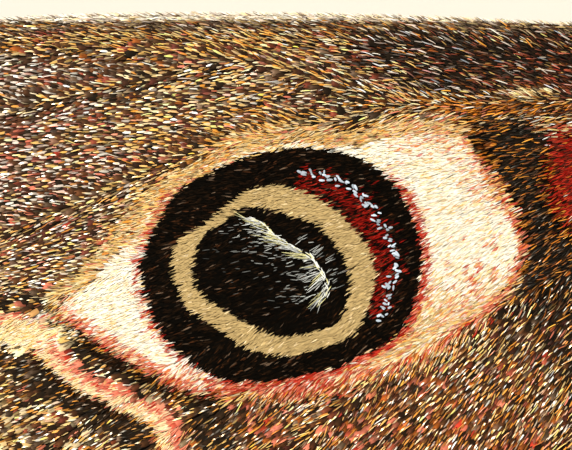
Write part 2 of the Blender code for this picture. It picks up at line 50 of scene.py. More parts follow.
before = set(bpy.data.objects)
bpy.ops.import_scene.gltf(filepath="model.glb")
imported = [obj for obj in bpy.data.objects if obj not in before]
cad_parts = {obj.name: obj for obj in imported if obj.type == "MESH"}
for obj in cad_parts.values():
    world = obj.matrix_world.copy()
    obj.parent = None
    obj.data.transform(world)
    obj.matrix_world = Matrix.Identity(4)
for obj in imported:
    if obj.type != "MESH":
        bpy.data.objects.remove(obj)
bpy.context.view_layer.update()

MM = 0.001
TAU = 2 * math.pi
SEED = 5
SIDES = (("left", False), ("right", True))
EYE_Y, EYE_Z = -4.368, 4.32


def frame_shift():
    """From the moth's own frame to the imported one: the middle of the left eye is in both."""
    low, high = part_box("eye_left")
    return np.array([0.0, (low[1] + high[1]) / 2 / MM - EYE_Y, (low[2] + high[2]) / 2 / MM - EYE_Z])


SHIFT = frame_shift()

# The wings in plan, from the same sizes as their solids
CREST_X = 11.96
CREST_Z = 6.62
DROOP = 0.0113
HINDWING_DROP = 1.2
HINDWING_BACK_DROOP = 0.00652
FOREWING = {
    "node": "forewing",
    "base": (2.39, -1.10),
    "sweep": math.radians(12),
    "outline": [
        (-0.5, -0.62), (2.02, -0.87), (5.52, -1.0), (9.20, -1.11), (13.8, -1.22), (18.7, -1.15),
        (22.63, -0.69), (25.76, 0.41), (27.42, 1.75), (27.69, 3.13), (26.68, 4.78), (24.66, 6.72),
        (22.26, 8.83), (19.87, 10.76), (17.76, 11.87), (16.01, 11.87), (11.50, 9.11), (6.44, 5.61),
        (2.39, 2.85), (-0.5, 1.3),
    ],
    "veins": [
        [(1.38, -0.18), (7.36, -0.55), (12.88, -0.74), (17.48, -0.78), (21.16, -0.55)],
        [(1.38, 0.09), (5.52, 0.14), (9.16, 0.23), (11.87, 0.35), (14.54, -0.41), (18.77, -0.55),
         (23.92, 0.28)],
        [(14.54, -0.41), (16.28, -0.09), (18.77, 0.49), (22.08, 1.10), (26.31, 2.21)],
        [(11.55, 0.31), (13.71, 0.78), (15.41, 1.16), (16.65, 1.75), (18.77, 2.55), (22.54, 3.68),
         (25.76, 4.88)],
        [(13.71, 0.78), (14.26, 1.56), (14.17, 2.48), (13.34, 3.40), (12.79, 4.23), (12.79, 4.88)],
        [(14.21, 2.02), (16.01, 2.85), (18.77, 4.09), (21.62, 5.52), (24.10, 6.81)],
        [(13.16, 3.59), (15.27, 4.51), (17.94, 6.16), (20.24, 7.82), (22.08, 8.56)],
        [(1.38, 0.64), (5.06, 1.75), (9.16, 3.26), (11.68, 4.51), (14.17, 5.15), (16.19, 6.16),
         (18.40, 8.28), (20.06, 10.12)],
        [(11.68, 4.51), (13.52, 6.07), (15.82, 8.65), (17.85, 11.13)],
        [(1.38, 1.29), (5.06, 3.59), (9.20, 6.35), (13.34, 9.20), (15.92, 11.32)],
    ],
}
HINDWING = {
    "node": "hindwing",
    "base": (2.39, 1.29),
    "sweep": math.radians(-18),
    "outline": [
        (-0.5, -0.7), (2.02, -1.38), (5.52, -2.12), (10.12, -2.48), (14.72, -1.93), (17.85, -0.46),
        (19.23, 2.21), (18.86, 5.52), (16.93, 8.83), (13.98, 11.32), (10.67, 12.60), (7.91, 12.42),
        (5.89, 10.67), (4.51, 7.54), (2.85, 4.05), (1.47, 1.84), (-0.5, 0.6),
    ],
    "veins": [
        [(1.66, -0.83), (5.52, -1.47), (10.12, -1.66), (14.72, -1.10)],
        [(1.66, -0.46), (5.06, 0.18), (8.28, 0.83), (11.96, 0.92), (17.11, 1.10)],
        [(8.28, 0.83), (11.50, 2.12), (17.85, 3.86)],
        [(8.83, 2.67), (11.50, 4.23), (16.56, 7.54)],
        [(8.10, 4.23), (10.49, 6.35), (14.35, 10.12)],
        [(8.28, 0.83), (9.02, 2.21), (8.46, 3.59), (7.36, 4.32)],
        [(1.66, -0.09), (4.05, 1.84), (7.36, 4.32), (9.38, 7.36), (11.59, 11.32)],
        [(1.66, 0.37), (4.05, 3.86), (6.26, 7.91), (8.28, 11.41)],
    ],
}

# The eyespot's middle on each wing, and the window of the forewing that the camera sees
SPOT = np.array([13.8, 3.08])
HIND_SPOT = np.array([10.4, 3.1])
FAN_POINT = np.array([6.9, 0.27])
PIXEL = 1 / 59.5
VIEW_WIDTH, VIEW_HEIGHT = 572, 450
SPOT_PIXEL = (285, 267)
VIEW_MARGIN = 0.6

# The rectangle round it in which the scales are grown at their real size
VIEW_LOW, VIEW_HIGH = SPOT - (6.0, 4.5), SPOT + (6.0, 4.3)
FIRST_VIEW_SEED = 32

# Elsewhere the scales and hairs are coarser: their pitch, and their length and width
COARSE_SCALES = np.array([[0.155, 0.13], [0.24, 0.155]])
COARSE_HAIRS = np.array([[0.16, 0.15], [0.29, 0.034]])
UNDERSIDE_GRAIN = 1.5
FRINGE_COUNT = 15000


def curve_points(points, step, closed=False):
    """Points about a step apart on the even cubic curve that runs through the given ones."""
    given = np.asarray(points, float)
    if closed:
        ring = np.vstack([given[-1:], given, given[:2]])
    else:
        ring = np.vstack([2 * given[:1] - given[1:2], given, 2 * given[-1:] - given[-2:-1]])
    found = []
    for p0, p1, p2, p3 in zip(ring, ring[1:], ring[2:], ring[3:]):
        count = max(1, int(np.ceil(np.linalg.norm(p2 - p1) / step)))
        t = (np.arange(count) / count)[:, None]
        found.append(0.5 * (
            2 * p1 + (p2 - p0) * t + (2 * p0 - 5 * p1 + 4 * p2 - p3) * t ** 2
            + (3 * p1 - p0 - 3 * p2 + p3) * t ** 3
        ))
    if not closed:
        found.append(given[-1:])
    return np.vstack(found)


def line_distance(places, line):
    """For each place: how far the line is, on which side, and the share along the line."""
    a, b = line[:-1], line[1:]
    side = b - a
    size = np.maximum((side ** 2).sum(1), 1e-12)
    walked = np.concatenate([[0], np.cumsum(np.sqrt(size))])
    away = np.empty(len(places))
    turn = np.empty(len(places))
    along = np.empty(len(places))
    for first in range(0, len(places), 20000):
        part = places[first:first + 20000]
        x = part[:, :1] - a[None, :, 0]
        y = part[:, 1:] - a[None, :, 1]
        share = np.clip((x * side[:, 0] + y * side[:, 1]) / size, 0, 1)
        far = (x - side[:, 0] * share) ** 2 + (y - side[:, 1] * share) ** 2
        best = far.argmin(1)
        row = np.arange(len(part))
        away[first:first + 20000] = np.sqrt(far[row, best])
        turn[first:first + 20000] = np.sign(side[best, 0] * y[row, best] - side[best, 1] * x[row, best])
        along[first:first + 20000] = (walked[best] + np.sqrt(size[best]) * share[row, best]) / walked[-1]
    return away, turn, along


def inside_loop(places, loop):
    """True where a place is inside the loop: a ray from it crosses the loop an odd number of times."""
    odd = np.zeros(len(places), bool)
    for a, b in zip(loop, np.roll(loop, -1, axis=0)):
        above = (a[1] > places[:, 1]) != (b[1] > places[:, 1])
        cross = a[0] + (places[:, 1] - a[1]) * (b[0] - a[0]) / (b[1] - a[1] + 1e-12)
        odd ^= above & (places[:, 0] < cross)
    return odd


def depth_inside(places, points, step=0.1):
    """The distance to the closed curve through the points, positive inside it."""
    loop = curve_points(points, step, closed=True)
    away = line_distance(places, np.vstack([loop, loop[:1]]))[0]
    return np.where(inside_loop(places, loop), away, -away)


def cloud(places, size, seed):
    """Soft random patches from 0 to 1 about a size apart: values on a grid, blended smoothly."""
    table = np.random.default_rng(seed).random((64, 64))
    spot = places / size + 17.3
    cell = np.floor(spot).astype(int)
    t = spot - cell
    t = t * t * (3 - 2 * t)
    i, j = cell[:, 0] % 63, cell[:, 1] % 63
    top = table[i, j] * (1 - t[:, 0]) + table[i + 1, j] * t[:, 0]
    low = table[i, j + 1] * (1 - t[:, 0]) + table[i + 1, j + 1] * t[:, 0]
    return top * (1 - t[:, 1]) + low * t[:, 1]


def soft(value, low, high):
    """0 below low, 1 above high, and a smooth ramp between."""
    t = np.clip((value - low) / (high - low), 0, 1)
    return t * t * (3 - 2 * t)


def bell(values, middle, reach, power=2):
    """1 in the middle, and falling to 0 on both sides over about the reach."""
    return np.exp(-((values - middle) / reach) ** power)


def patch_share(places, middle, reach):
    """1 at one place, and falling to 0 all round it over about the two reaches."""
    return np.exp(-(((places - np.array(middle)) / np.array(reach)) ** 2).sum(1))


def walked_along(path):
    """The distance walked along a path at each of its points."""
    return np.concatenate([[0], np.cumsum(np.linalg.norm(np.diff(path, axis=0), axis=1))])


def along_path(path, walked, distance):
    """The points of a path at distances along it, and the directions ahead there."""
    here, ahead = (
        np.stack([np.interp(distance + step, walked, path[:, k]) for k in range(3)], 1) for step in (0, 0.05)
    )
    return here, unit(ahead - here)


def unit(vectors):
    return vectors / np.maximum(np.linalg.norm(vectors, axis=-1, keepdims=True), 1e-9)


def in_plan(wing, places):
    """Places on a wing as (x, y) in the moth's frame."""
    c, s = math.cos(wing["sweep"]), math.sin(wing["sweep"])
    return np.stack([
        wing["base"][0] + places[:, 0] * c + places[:, 1] * s,
        wing["base"][1] - places[:, 0] * s + places[:, 1] * c,
    ], 1)


def mid_height(wing, plan):
    """The wing's middle surface: a shallow arch, with the hindwing lower and falling to the back."""
    height = CREST_Z - DROOP * (plan[:, 0] - CREST_X) ** 2
    if wing is HINDWING:
        fall = np.maximum(0, plan[:, 1] - wing["base"][1])
        height = height - HINDWING_DROP - HINDWING_BACK_DROOP * fall ** 2
    return height


class Chart:
    """What the forms near a wing's margin and veins come to, worked out once on a fine grid."""

    STEP = 0.07

    def __init__(self, wing):
        loop = curve_points(wing["outline"], 0.2, closed=True)
        self.low = loop.min(0) - 0.6
        self.high = loop.max(0) + 0.6
        count = np.ceil((self.high - self.low) / self.STEP).astype(int) + 1
        i, j = np.meshgrid(np.arange(count[0]), np.arange(count[1]), indexing="ij")
        places = self.low + np.stack([i.ravel(), j.ravel()], 1) * self.STEP
        ridge = np.zeros(len(places))
        splay = np.zeros(len(places))
        for line in wing["veins"]:
            away, side, along = line_distance(places, curve_points(line, 0.3))
            ridge = np.maximum(ridge, np.clip(1 - away / 0.22, 0, 1) * (1 - 0.6 * along ** 3))
            splay += side * bell(away, 0, 0.32) * np.clip(away / 0.08, 0, 1)
        if wing is FOREWING:
            ridge *= 1 - 0.9 * soft(depth_inside(from_spot(places), RING), -0.3, 0.1)
            ridge *= 1 - 0.9 * soft(depth_inside(from_spot(places), WHITE_FIELD), -0.3, 0.1)
        depth = depth_inside(places, wing["outline"], 0.2)
        self.table = np.stack([depth, ridge, splay], 1).reshape(count[0], count[1], 3)

    def read(self, places):
        """Depth inside the margin, height of the nearest vein's ridge from 0 to 1, and the splay of
        the scales beside it, blended between the four nearest corners of the grid."""
        spot = (places - self.low) / self.STEP
        cell = np.clip(np.floor(spot).astype(int), 0, np.array(self.table.shape[:2]) - 2)
        t = np.clip(spot - cell, 0, 1)
        i, j = cell[:, 0], cell[:, 1]
        a, b = t[:, :1], t[:, 1:]
        return (
            self.table[i, j] * (1 - a) * (1 - b) + self.table[i + 1, j] * a * (1 - b)
            + self.table[i, j + 1] * (1 - a) * b + self.table[i + 1, j + 1] * a * b
        )


def wing_relief(wing, places, sizes):
    """Half the skin's thickness, thin at the margin, plus the ridges along the veins."""
    depth, ridge, _ = wing["chart"].read(places).T
    fade = 1 - np.clip(depth / 0.7, 0, 1)
    half = sizes.half_thickness / MM * np.sqrt(1 - fade ** 2)
    return half + sizes.vein_rise / MM * ridge * ridge * (3 - 2 * ridge) * np.clip(depth / 0.3, 0, 1)


def wing_point(wing, places, lift):
    """Places on a wing as points in the moth's frame, lifted off its middle surface."""
    plan = in_plan(wing, places)
    return np.column_stack([plan, mid_height(wing, plan) + lift])


def wing_frames(wing, places, lie, upper=True):
    """For places on a wing: the lie as a direction in the moth's frame, and the surface's normal."""
    step = 0.02
    here = wing_point(wing, places, 0)
    along = unit(wing_point(wing, places + lie * step, 0) - here)
    aside = wing_point(wing, places + np.stack([-lie[:, 1], lie[:, 0]], 1) * step, 0) - here
    up = unit(np.cross(along, aside))
    up = np.where((up[:, 2:] < 0) == upper, -up, up)
    return along, up


def wing_map(wing, places):
    """Where places on a wing lie on its unwrap: its plan, fitted into the square."""
    chart = wing["chart"]
    return (places - chart.low) / (chart.high - chart.low).max()


def view_map(places):
    """The same for pieces that cover only the camera's part of the forewing."""
    return (places - VIEW_LOW) / (VIEW_HIGH - VIEW_LOW).max()


# The body from the face to the tip of the abdomen: y, height of the middle, half width, half height
BODY = [
    (-5.50, 4.20, 0.04, 0.04), (-5.42, 4.22, 0.30, 0.36), (-5.20, 4.26, 0.50, 0.66),
    (-4.85, 4.30, 0.66, 0.90), (-4.37, 4.32, 0.74, 1.02), (-3.85, 4.38, 0.76, 1.02),
    (-3.45, 4.52, 0.92, 1.08), (-3.05, 4.72, 1.38, 1.32), (-2.40, 4.85, 1.88, 1.62),
    (-1.20, 4.88, 2.18, 1.80), (0.00, 4.88, 2.24, 1.84), (1.40, 4.85, 2.14, 1.76),
    (2.50, 4.72, 1.82, 1.54), (3.20, 4.45, 1.50, 1.34), (3.80, 4.12, 1.56, 1.42),
    (4.80, 3.76, 1.80, 1.64), (6.15, 3.36, 1.92, 1.76), (8.00, 2.84, 1.80, 1.65),
    (10.0, 2.31, 1.40, 1.29), (11.3, 1.98, 0.98, 0.90), (11.95, 1.82, 0.50, 0.46),
    (12.15, 1.77, 0.04, 0.04),
]


def body_point(y, turn):
    """A point of the body, on the ellipse across it at y."""
    table = curve_points(BODY, 0.15)
    middle, wide, high = (np.interp(y, table[:, 0], table[:, k]) for k in (1, 2, 3))
    return np.stack([wide * np.cos(turn), y + 0 * turn, middle + high * np.sin(turn)], -1)


def body_frames(y, turn):
    """The direction backwards along the body's surface, and the normal there."""
    back = unit(body_point(y + 0.05, turn) - body_point(y - 0.05, turn))
    aside = body_point(y, turn + 0.02) - body_point(y, turn - 0.02)
    return back, unit(np.cross(back, aside))


def grid_faces(rows, columns, wrap=False):
    """Quads over a grid of points, closed round the columns where it wraps."""
    count = columns if wrap else columns - 1
    i, j = np.meshgrid(np.arange(rows - 1), np.arange(count), indexing="ij")
    k = (j + 1) % columns
    corners = [i * columns + j, i * columns + k, (i + 1) * columns + k, (i + 1) * columns + j]
    return np.stack(corners, -1).reshape(-1, 4)


def new_piece(name, points, faces, finish, mirror=False):
    """A piece at the origin from points in the moth's frame and an array of four-sided faces."""
    points = (points + SHIFT) * MM
    if mirror:
        points = points * np.array([-1.0, 1.0, 1.0])
        faces = faces[:, ::-1]
    mesh = bpy.data.meshes.new(name)
    mesh.vertices.add(len(points))
    mesh.vertices.foreach_set("co", points.astype(np.float32).ravel())
    mesh.loops.add(faces.size)
    mesh.loops.foreach_set("vertex_index", faces.astype(np.int32).ravel())
    mesh.polygons.add(len(faces))
    mesh.polygons.foreach_set("loop_start", np.arange(0, faces.size, 4, dtype=np.int32))
    mesh.polygons.foreach_set("loop_total", np.full(len(faces), 4, np.int32))
    mesh.polygons.foreach_set("use_smooth", np.ones(len(faces), bool))
    mesh.materials.append(finish)
    mesh.update(calc_edges=True)
    piece = bpy.data.objects.new(name, mesh)
    bpy.context.scene.collection.objects.link(piece)
    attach(piece, "root")
    return piece


def add_map(piece, name, values):
    """A UV map from one pair of numbers for each face corner."""
    layer = piece.data.uv_layers.new(name=name)
    layer.uv.foreach_set("vector", values.astype(np.float32).ravel())


def add_tint(piece, colours):
    """The attribute tint, one colour for each point."""
    layer = piece.data.color_attributes.new("tint", "FLOAT_COLOR", "POINT")
    full = np.column_stack([colours, np.ones(len(colours))])
    layer.data.foreach_set("color", full.astype(np.float32).ravel())


def blade_form(stations, widths, columns=(-1, 1), ends=(0, 0)):
    """A blade of the coat: stations from root to tip, the share of the width at each, the columns
    across, and how much further each column runs at the tip."""
    return {"stations": stations, "widths": widths, "columns": columns, "ends": ends}


BROAD = blade_form((0.0, 0.5, 0.92), (0.5, 1.0, 0.72), (-1, 0, 1), (0, 0.1, 0))
TOOTHED = blade_form((0.0, 0.3, 0.78, 0.9), (0.5, 0.95, 1.0, 0.86), (-1, -0.5, 0, 0.5, 1),
                     (0, 0.3, 0.0, 0.3, 0))
LANCE = blade_form((0.0, 0.35, 0.7, 1.0), (0.55, 1.0, 0.75, 0.1))
HAIR = blade_form((0.0, 0.35, 0.7, 1.0), (0.8, 1.0, 0.9, 0.2))
TUFT = blade_form((0.0, 0.5, 1.0), (0.75, 1.0, 0.12))

# The side of each blade's patch on a coat's map
PATCH = 0.003


def add_coat(name, blade, grown, root_map, finish, mirror=False):
    """Many blades of one form as one mesh.

    A point of a blade is its root, plus length times station along its lie, plus half the width
    across it, plus a height of length times (rise station - droop station^2), less the cup at its sides.
    """
    t = np.repeat(blade["stations"], len(blade["columns"]))
    w = np.repeat(blade["widths"], len(blade["columns"]))
    s = np.tile(blade["columns"], len(blade["stations"])).astype(float)
    t = t + np.where(t == t.max(), np.tile(blade["ends"], len(blade["stations"])), 0)
    along, up = grown["along"], grown["up"]
    length, width = grown["length"][:, None], grown["width"][:, None]
    across = unit(np.cross(along, up))
    lift = length * (grown["rise"][:, None] * t - grown["droop"][:, None] * t ** 2)
    lift = lift - width * grown["cup"] * w * s ** 2
    points = (
        grown["root"][:, None] + along[:, None] * (length * t)[..., None]
        + across[:, None] * (width / 2 * w * s)[..., None] + up[:, None] * lift[..., None]
    )
    size = points.shape[1]
    quads = grid_faces(len(blade["stations"]), len(blade["columns"]))
    faces = (np.arange(len(along))[:, None, None] * size + quads[None]).reshape(-1, 4)
    piece = new_piece(name, points.reshape(-1, 3), faces, finish, mirror)
    add_tint(piece, np.repeat(grown["colour"], size, axis=0))
    corner = (quads[:, ::-1] if mirror else quads).ravel()
    own = np.stack([(s[corner] + 1) / 2, t[corner]], 1)
    add_map(piece, "OFBake", (root_map[:, None] + (own[None] - 0.5) * PATCH).reshape(-1, 2))
    add_map(piece, "blade", np.tile(own, (len(along), 1)))
    return piece


def linear(colour):
    """A colour as screens state it, made linear."""
    value = np.asarray(colour, float) / 255
    return np.where(value <= 0.04045, value / 12.92, ((value + 0.055) / 1.055) ** 2.4)


# Scale colours, as screens state them
TONES = {
    "black": (4, 3, 2),
    "dark": (30, 17, 7),
    "brown": (80, 46, 24),
    "umber": (70, 31, 24),
    "grey": (124, 100, 80),
    "gold": (228, 150, 56),
    "straw": (246, 198, 114),
    "cream": (250, 224, 174),
    "white": (253, 246, 230),
    "silver": (234, 216, 200),
    "rose": (164, 78, 56),
    "pink": (222, 124, 98),
    "red": (186, 50, 34),
    "crimson": (146, 20, 12),
    "orange": (224, 122, 48),
    "tan": (194, 166, 112),
    "frost": (222, 236, 250),
    "ochre": (206, 118, 30),
    "rust": (150, 78, 26),
}
TONE_NAMES = list(TONES)
TONE_TABLE = np.array([linear(TONES[name]) for name in TONE_NAMES])


class Markings:
    """The chance of each tone at each place, painted over by one mark after another."""

    def __init__(self, count, ground):
        self.chances = np.zeros((count, len(TONES)))
        self.paint(np.ones(count), ground)

    def paint(self, cover, tones):
        row = np.zeros(len(TONES))
        for name, share in tones.items():
            row[TONE_NAMES.index(name)] = share
        row /= row.sum()
        cover = np.clip(cover, 0, 1)[:, None]
        self.chances = self.chances * (1 - cover) + row * cover

    def draw(self, chance, spread, calm=0.0):
        """One colour for each place: a blend of two tones picked by their chances, brought nearer to
        the place's mean colour by calm, and varied in brightness."""
        steps = np.cumsum(self.chances, axis=1)
        picks = [(chance.random(len(steps))[:, None] > steps / steps[:, -1:]).sum(1) for _ in range(2)]
        one, other = (TONE_TABLE[np.minimum(pick, len(TONES) - 1)] for pick in picks)
        picked = one + (other - one) * chance.uniform(0, 0.45, (len(steps), 1))
        spread = spread * (1 + 1.5 * soft(-picked.mean(1), -0.05, -0.005))
        shade = np.exp(chance.normal(0, 1, len(steps)) * spread)
        return (picked * (1 - calm) + self.mean() * calm) * shade[:, None]

    def mean(self):
        """The colour that each place has from afar."""
        return self.chances @ TONE_TABLE


# The eyespot and the marks round it, from the spot's middle: towards the body, and back
RING = [
    (-2.40, 0.10), (-2.29, -0.39), (-1.82, -1.21), (-1.19, -1.63), (-0.40, -1.92), (0.35, -2.02),
    (1.0, -1.93), (1.60, -1.66), (2.07, -1.11), (2.32, -0.39), (2.35, -0.12), (2.22, 0.57), (1.92, 1.13),
    (1.29, 1.50), (0.67, 1.75), (-0.42, 1.93), (-1.04, 1.88), (-1.66, 1.53), (-2.13, 0.98),
]
TAN_OUTER = [
    (-1.85, 0.03), (-1.75, -0.45), (-1.19, -0.82), (-0.94, -1.04), (-0.45, -1.33), (0.05, -1.36),
    (0.67, -1.11), (1.10, -0.75), (1.45, -0.27), (1.55, 0.10), (1.41, 0.66), (1.14, 1.13), (0.20, 1.46),
    (-0.42, 1.41), (-1.19, 0.98), (-1.63, 0.61),
]
TAN_INNER = [
    (-1.51, -0.02), (-1.36, -0.46), (-0.98, -0.80), (-0.52, -1.03), (0.20, -0.84), (0.57, -0.71),
    (0.96, -0.27), (1.14, 0.20), (1.04, 0.66), (0.82, 0.98), (0.05, 1.16), (-0.42, 1.04), (-1.04, 0.69),
    (-1.41, 0.42),
]
WHITE_FIELD = [
    (1.10, -2.05), (1.85, -2.22), (2.62, -2.29), (3.08, -2.10), (3.33, -1.78), (3.45, -1.35),
    (3.75, -1.0), (3.92, -0.65), (3.99, -0.25), (3.80, 0.25), (3.39, 0.70), (2.77, 1.10), (2.15, 1.50),
    (1.2, 1.78), (0.3, 2.05), (-0.75, 2.03), (-1.43, 2.07), (-2.02, 1.83), (-2.60, 1.50), (-3.2, 1.12),
    (-3.75, 0.66), (-3.28, 0.28), (-2.94, -0.1), (-2.6, -0.45), (-2.27, -0.90), (-1.93, -1.20),
    (-0.76, -1.92), (0.25, -2.12),
]
CRESCENT = [
    (-0.50, -0.78), (-0.36, -0.72), (-0.22, -0.58), (-0.08, -0.47), (0.34, -0.23), (0.47, -0.15),
    (0.59, 0.05), (0.69, 0.22), (0.72, 0.39), (0.66, 0.55),
]
FROST_LINE = [
    (0.24, -1.60), (0.54, -1.54), (0.97, -1.39), (1.29, -1.14), (1.51, -0.86), (1.76, -0.52), (1.82, -0.27),
    (1.88, 0.03), (1.73, 0.35), (1.73, 0.61), (1.58, 0.87),
]
ANTEMEDIAL_EDGE = [
    (2.9, -3.2), (3.0, -2.6), (3.17, -1.97), (3.55, -1.5), (3.81, -1.08), (3.95, -0.6), (4.05, -0.2),
    (3.95, 0.4), (4.4, 1.6), (5.2, 3.0), (6.0, 4.2),
]
INNER_BAND = [
    (-7.2, -3.9), (-7.5, -2.6), (-7.0, -0.9), (-6.0, 0.3), (-5.2, 0.75), (-4.4, 0.75), (-4.03, 0.89),
    (-3.53, 1.14), (-2.94, 1.48), (-2.27, 1.73), (-1.43, 2.15), (-1.0, 3.3), (-0.5, 4.6), (-0.3, 5.8),
    (-0.6, 7.4),
]
PINK_LINE = [
    (-7.8, -3.8), (-8.1, -2.5), (-7.6, -0.7), (-6.5, 0.5), (-5.6, 0.85), (-4.9, 1.0), (-4.12, 1.14),
    (-3.95, 1.39), (-3.61, 1.73), (-3.11, 2.07), (-2.44, 2.32), (-2.02, 2.54), (-1.82, 3.1), (-1.5, 4.2),
    (-1.2, 5.8), (-1.6, 7.9),
]
OUTER_BAND = [
    (-8.4, -3.7), (-8.7, -2.4), (-8.2, -0.4), (-7.0, 0.9), (-5.8, 1.35), (-4.8, 1.50), (-4.12, 1.90),
    (-3.45, 2.24), (-2.6, 2.75), (-2.3, 3.4), (-2.0, 4.4), (-1.8, 5.8), (-2.2, 8.2),
]
# The pale band inside the outer margin, and the red streak at the tip
RIM_BAND = [
    (-10.6, -2.6), (-11.3, -1.3), (-11.0, 0.2), (-9.6, 1.8), (-7.6, 3.4), (-5.4, 5.2), (-3.9, 6.9),
    (-3.2, 8.6),
]
APEX_STREAK = [(-10.6, -2.9), (-11.9, -2.1)]


def from_spot(places, spot=SPOT):
    """Places on a wing as distances from an eyespot's middle: towards the body, and back."""
    return np.stack([spot[0] - places[:, 0], places[:, 1] - spot[1]], 1)


def band(places, line, half, edge=0.05):
    """1 on a band along a line, 0 off it."""
    away = line_distance(places, curve_points(line, 0.15))[0]
    return soft(-away, -half - edge, -half + edge)


def forewing_marks(places, chance, kind):
    """The forewing's upper side. Kind is 0 for the scales at the bottom, 1 for the narrow scale that
    lies over each of them, and 2 for the hairs on top."""
    spot = from_spot(places)
    ragged = spot + chance.normal(0, 0.02, spot.shape)
    marks = Markings(len(places), (
        {"dark": 4, "brown": 4.5, "grey": 1.2, "umber": 1.5, "rose": 0.4},
        {"straw": 7, "gold": 3, "pink": 1.6, "cream": 5, "white": 4, "silver": 1},
        {"gold": 2.5, "straw": 5, "rust": 0.5, "pink": 0.3, "cream": 2.5, "white": 1.2},
    )[kind])
    # Light weights the pale tones of the narrow scales and hairs: their pale colour is partly the scales'
    # own and partly a painted highlight on the edge of each broad scale. Glint weights gold and straw in the
    # dark bands: painted highlights at the tips of the dark scales.
    light = (0.0, 1.0, 1.0)[kind]
    glint = (0.0, 3.0, 0.8)[kind]
    base = 1.0 - 0.75 * light

    def patch(middle, reach, tones, power=1.0):
        marks.paint(power * patch_share(spot, middle, reach), tones)

    # The outer part of the wing, beyond the eyespot, and the base
    marks.paint(soft(-spot[:, 0], 5.2, 6.4) * 0.8,
                {"grey": 3, "brown": 3, "silver": 1.5, "dark": 2, "straw": 1})
    rim = depth_inside(places, FOREWING["outline"], 0.25)
    marks.paint(soft(-rim, -2.2, -1.6) * soft(-spot[:, 0], 1.0, 3.0),
                {"brown": 4, "dark": 2, "grey": 2, "rust": 1})
    marks.paint(band(ragged, RIM_BAND, 0.75, 0.15), {"cream": 3, "silver": 3, "pink": 1, "grey": 1})
    marks.paint(band(ragged, APEX_STREAK, 0.3), {"crimson": 3, "red": 3, "pink": 1})
    marks.paint(soft(spot[:, 0], 6.3, 7.2), {"grey": 3, "brown": 3, "dark": 2, "silver": 1.5, "pink": 0.6})
    marks.paint(soft(spot[:, 0], 9.6, 10.6) * 0.8, {"brown": 3, "umber": 2, "grey": 2, "dark": 2})

    # Broad changes of the ground round the eyespot
    under = {"dark": 4 * base, "brown": 4.5 * base, "umber": 1.2 * base, "grey": base, "rose": 0.4 * base}
    patch((-4.4, -3.15), (1.7, 0.5),
          {**under, "silver": 4 * light, "white": 4 * light, "cream": 2 * light, "gold": light,
           "rose": light})
    patch((-4.2, -1.5), (2.0, 1.05),
          {**under, "rose": 0.4 + 1.5 * light, "silver": 4 * light, "pink": 1.5 * light, "straw": light})
    patch((-1.2, -2.75), (2.6, 0.5),
          {**under, "straw": 3 * light, "rose": light, "gold": 2 * light, "cream": 3 * light,
           "white": 1.5 * light}, 0.8)
    patch((-1.6, -2.15), (1.6, 0.28), {**under, "gold": 4 * light, "straw": 3 * light, "cream": light}, 0.8)
    dusky = (
        {"dark": 6, "black": 4, "brown": 0.8, "umber": 0.5},
        {"dark": 6, "black": 3, "brown": 1.5, "rust": 1.2, "rose": 1, "silver": 0.8, "straw": 0.8},
        {"silver": 5, "frost": 1, "rose": 2, "rust": 1, "dark": 5},
    )[kind]
    patch((-2.4, -3.78), (3.2, 0.26),
          {**under, "straw": 6 * light, "gold": 3 * light, "cream": 2 * light, "rust": 0.5}, 0.9)
    reach = 3.45 - 0.28 * np.clip(spot[:, 0] - 0.8, 0, 2)
    marks.paint(soft(spot[:, 0], 0.2, 1.6) * soft(-spot[:, 1] - reach, -0.2, 0.15) * 0.92, dusky)
    patch((4.4, -3.0), (1.2, 0.6), {"umber": 2, "rust": 1.5, "rose": 2, "dark": 3}, 0.5)
    patch((3.6, -2.68), (1.9, 0.17),
          {"gold": 2.4, "ochre": 5, "rust": 2, "straw": 0.3 * light, "dark": 1.2 + 5 * base}, 0.95)
    patch((4.07, -2.94), (0.4, 0.08), {"straw": 3, "cream": 3})
    low = {
        **under, "ochre": 3 * light, "gold": 3 * light, "straw": light, "rust": 2, "rose": 0.3 + light,
        "dark": 4,
    }
    patch((2.8, 2.7), (2.8, 1.3), {**low, "pink": light}, 0.9)
    patch((-0.8, 2.7), (1.3, 0.9), low, 0.85)
    patch((-5.0, 2.9), (1.7, 0.9),
          {**under, "straw": 3 * light, "cream": 3, "tan": 2, "gold": 2 * light}, 0.85)
    patch((4.6, 0.9), (0.9, 0.7), {"dark": 4, "brown": 3, "gold": 1.5 * light, "umber": 1}, 0.8)
    ridge = FOREWING["chart"].read(places)[:, 1]
    dark_front = soft(spot[:, 0], 0.3, 1.5) * soft(-spot[:, 1], 2.2, 2.6)
    marks.paint(soft(ridge, 0.2, 0.8) * 0.6 * light * (1 - dark_front),
                {"tan": 3, "gold": 2, "straw": 2, "cream": 1})

    # Pink and red scales in clusters
    cluster = soft(cloud(places, 0.26, 7), 0.6, 0.8) * (0.3, 0.3, 0.1)[kind] * soft(-spot[:, 1], -9.0, 3.0)
    cluster = cluster * (1 - 0.7 * soft(spot[:, 0], 1.5, 2.5) * soft(-spot[:, 1], 2.2, 2.6))
    marks.paint(cluster, {"rose": 1 + 2 * light, "pink": 1.6 * light, "red": 0.3, "umber": 5 * base})
    cluster = soft(cloud(places, 0.15, 8), 0.5, 0.8) * (0.6, 0.3, 0.1)[kind]
    cluster = cluster * soft(spot[:, 1] - 0.25 * np.abs(spot[:, 0] - 2.0), 1.0, 2.2)
    marks.paint(cluster, {"pink": 4, "rose": 2.5, "red": 0.8, "rust": 1.5})

    # The costal strip, pale at the very edge
    marks.paint(soft(-spot[:, 1], 3.93, 4.06) * 0.9,
                {"brown": 3, "grey": 4, "dark": 3, "tan": 2.5, "rust": 0.8, "gold": 0.8, "silver": light})
    marks.paint(soft(-spot[:, 1], 4.12, 4.2) * 0.9, {"white": 3, "silver": 3, "cream": 2, "tan": 1})
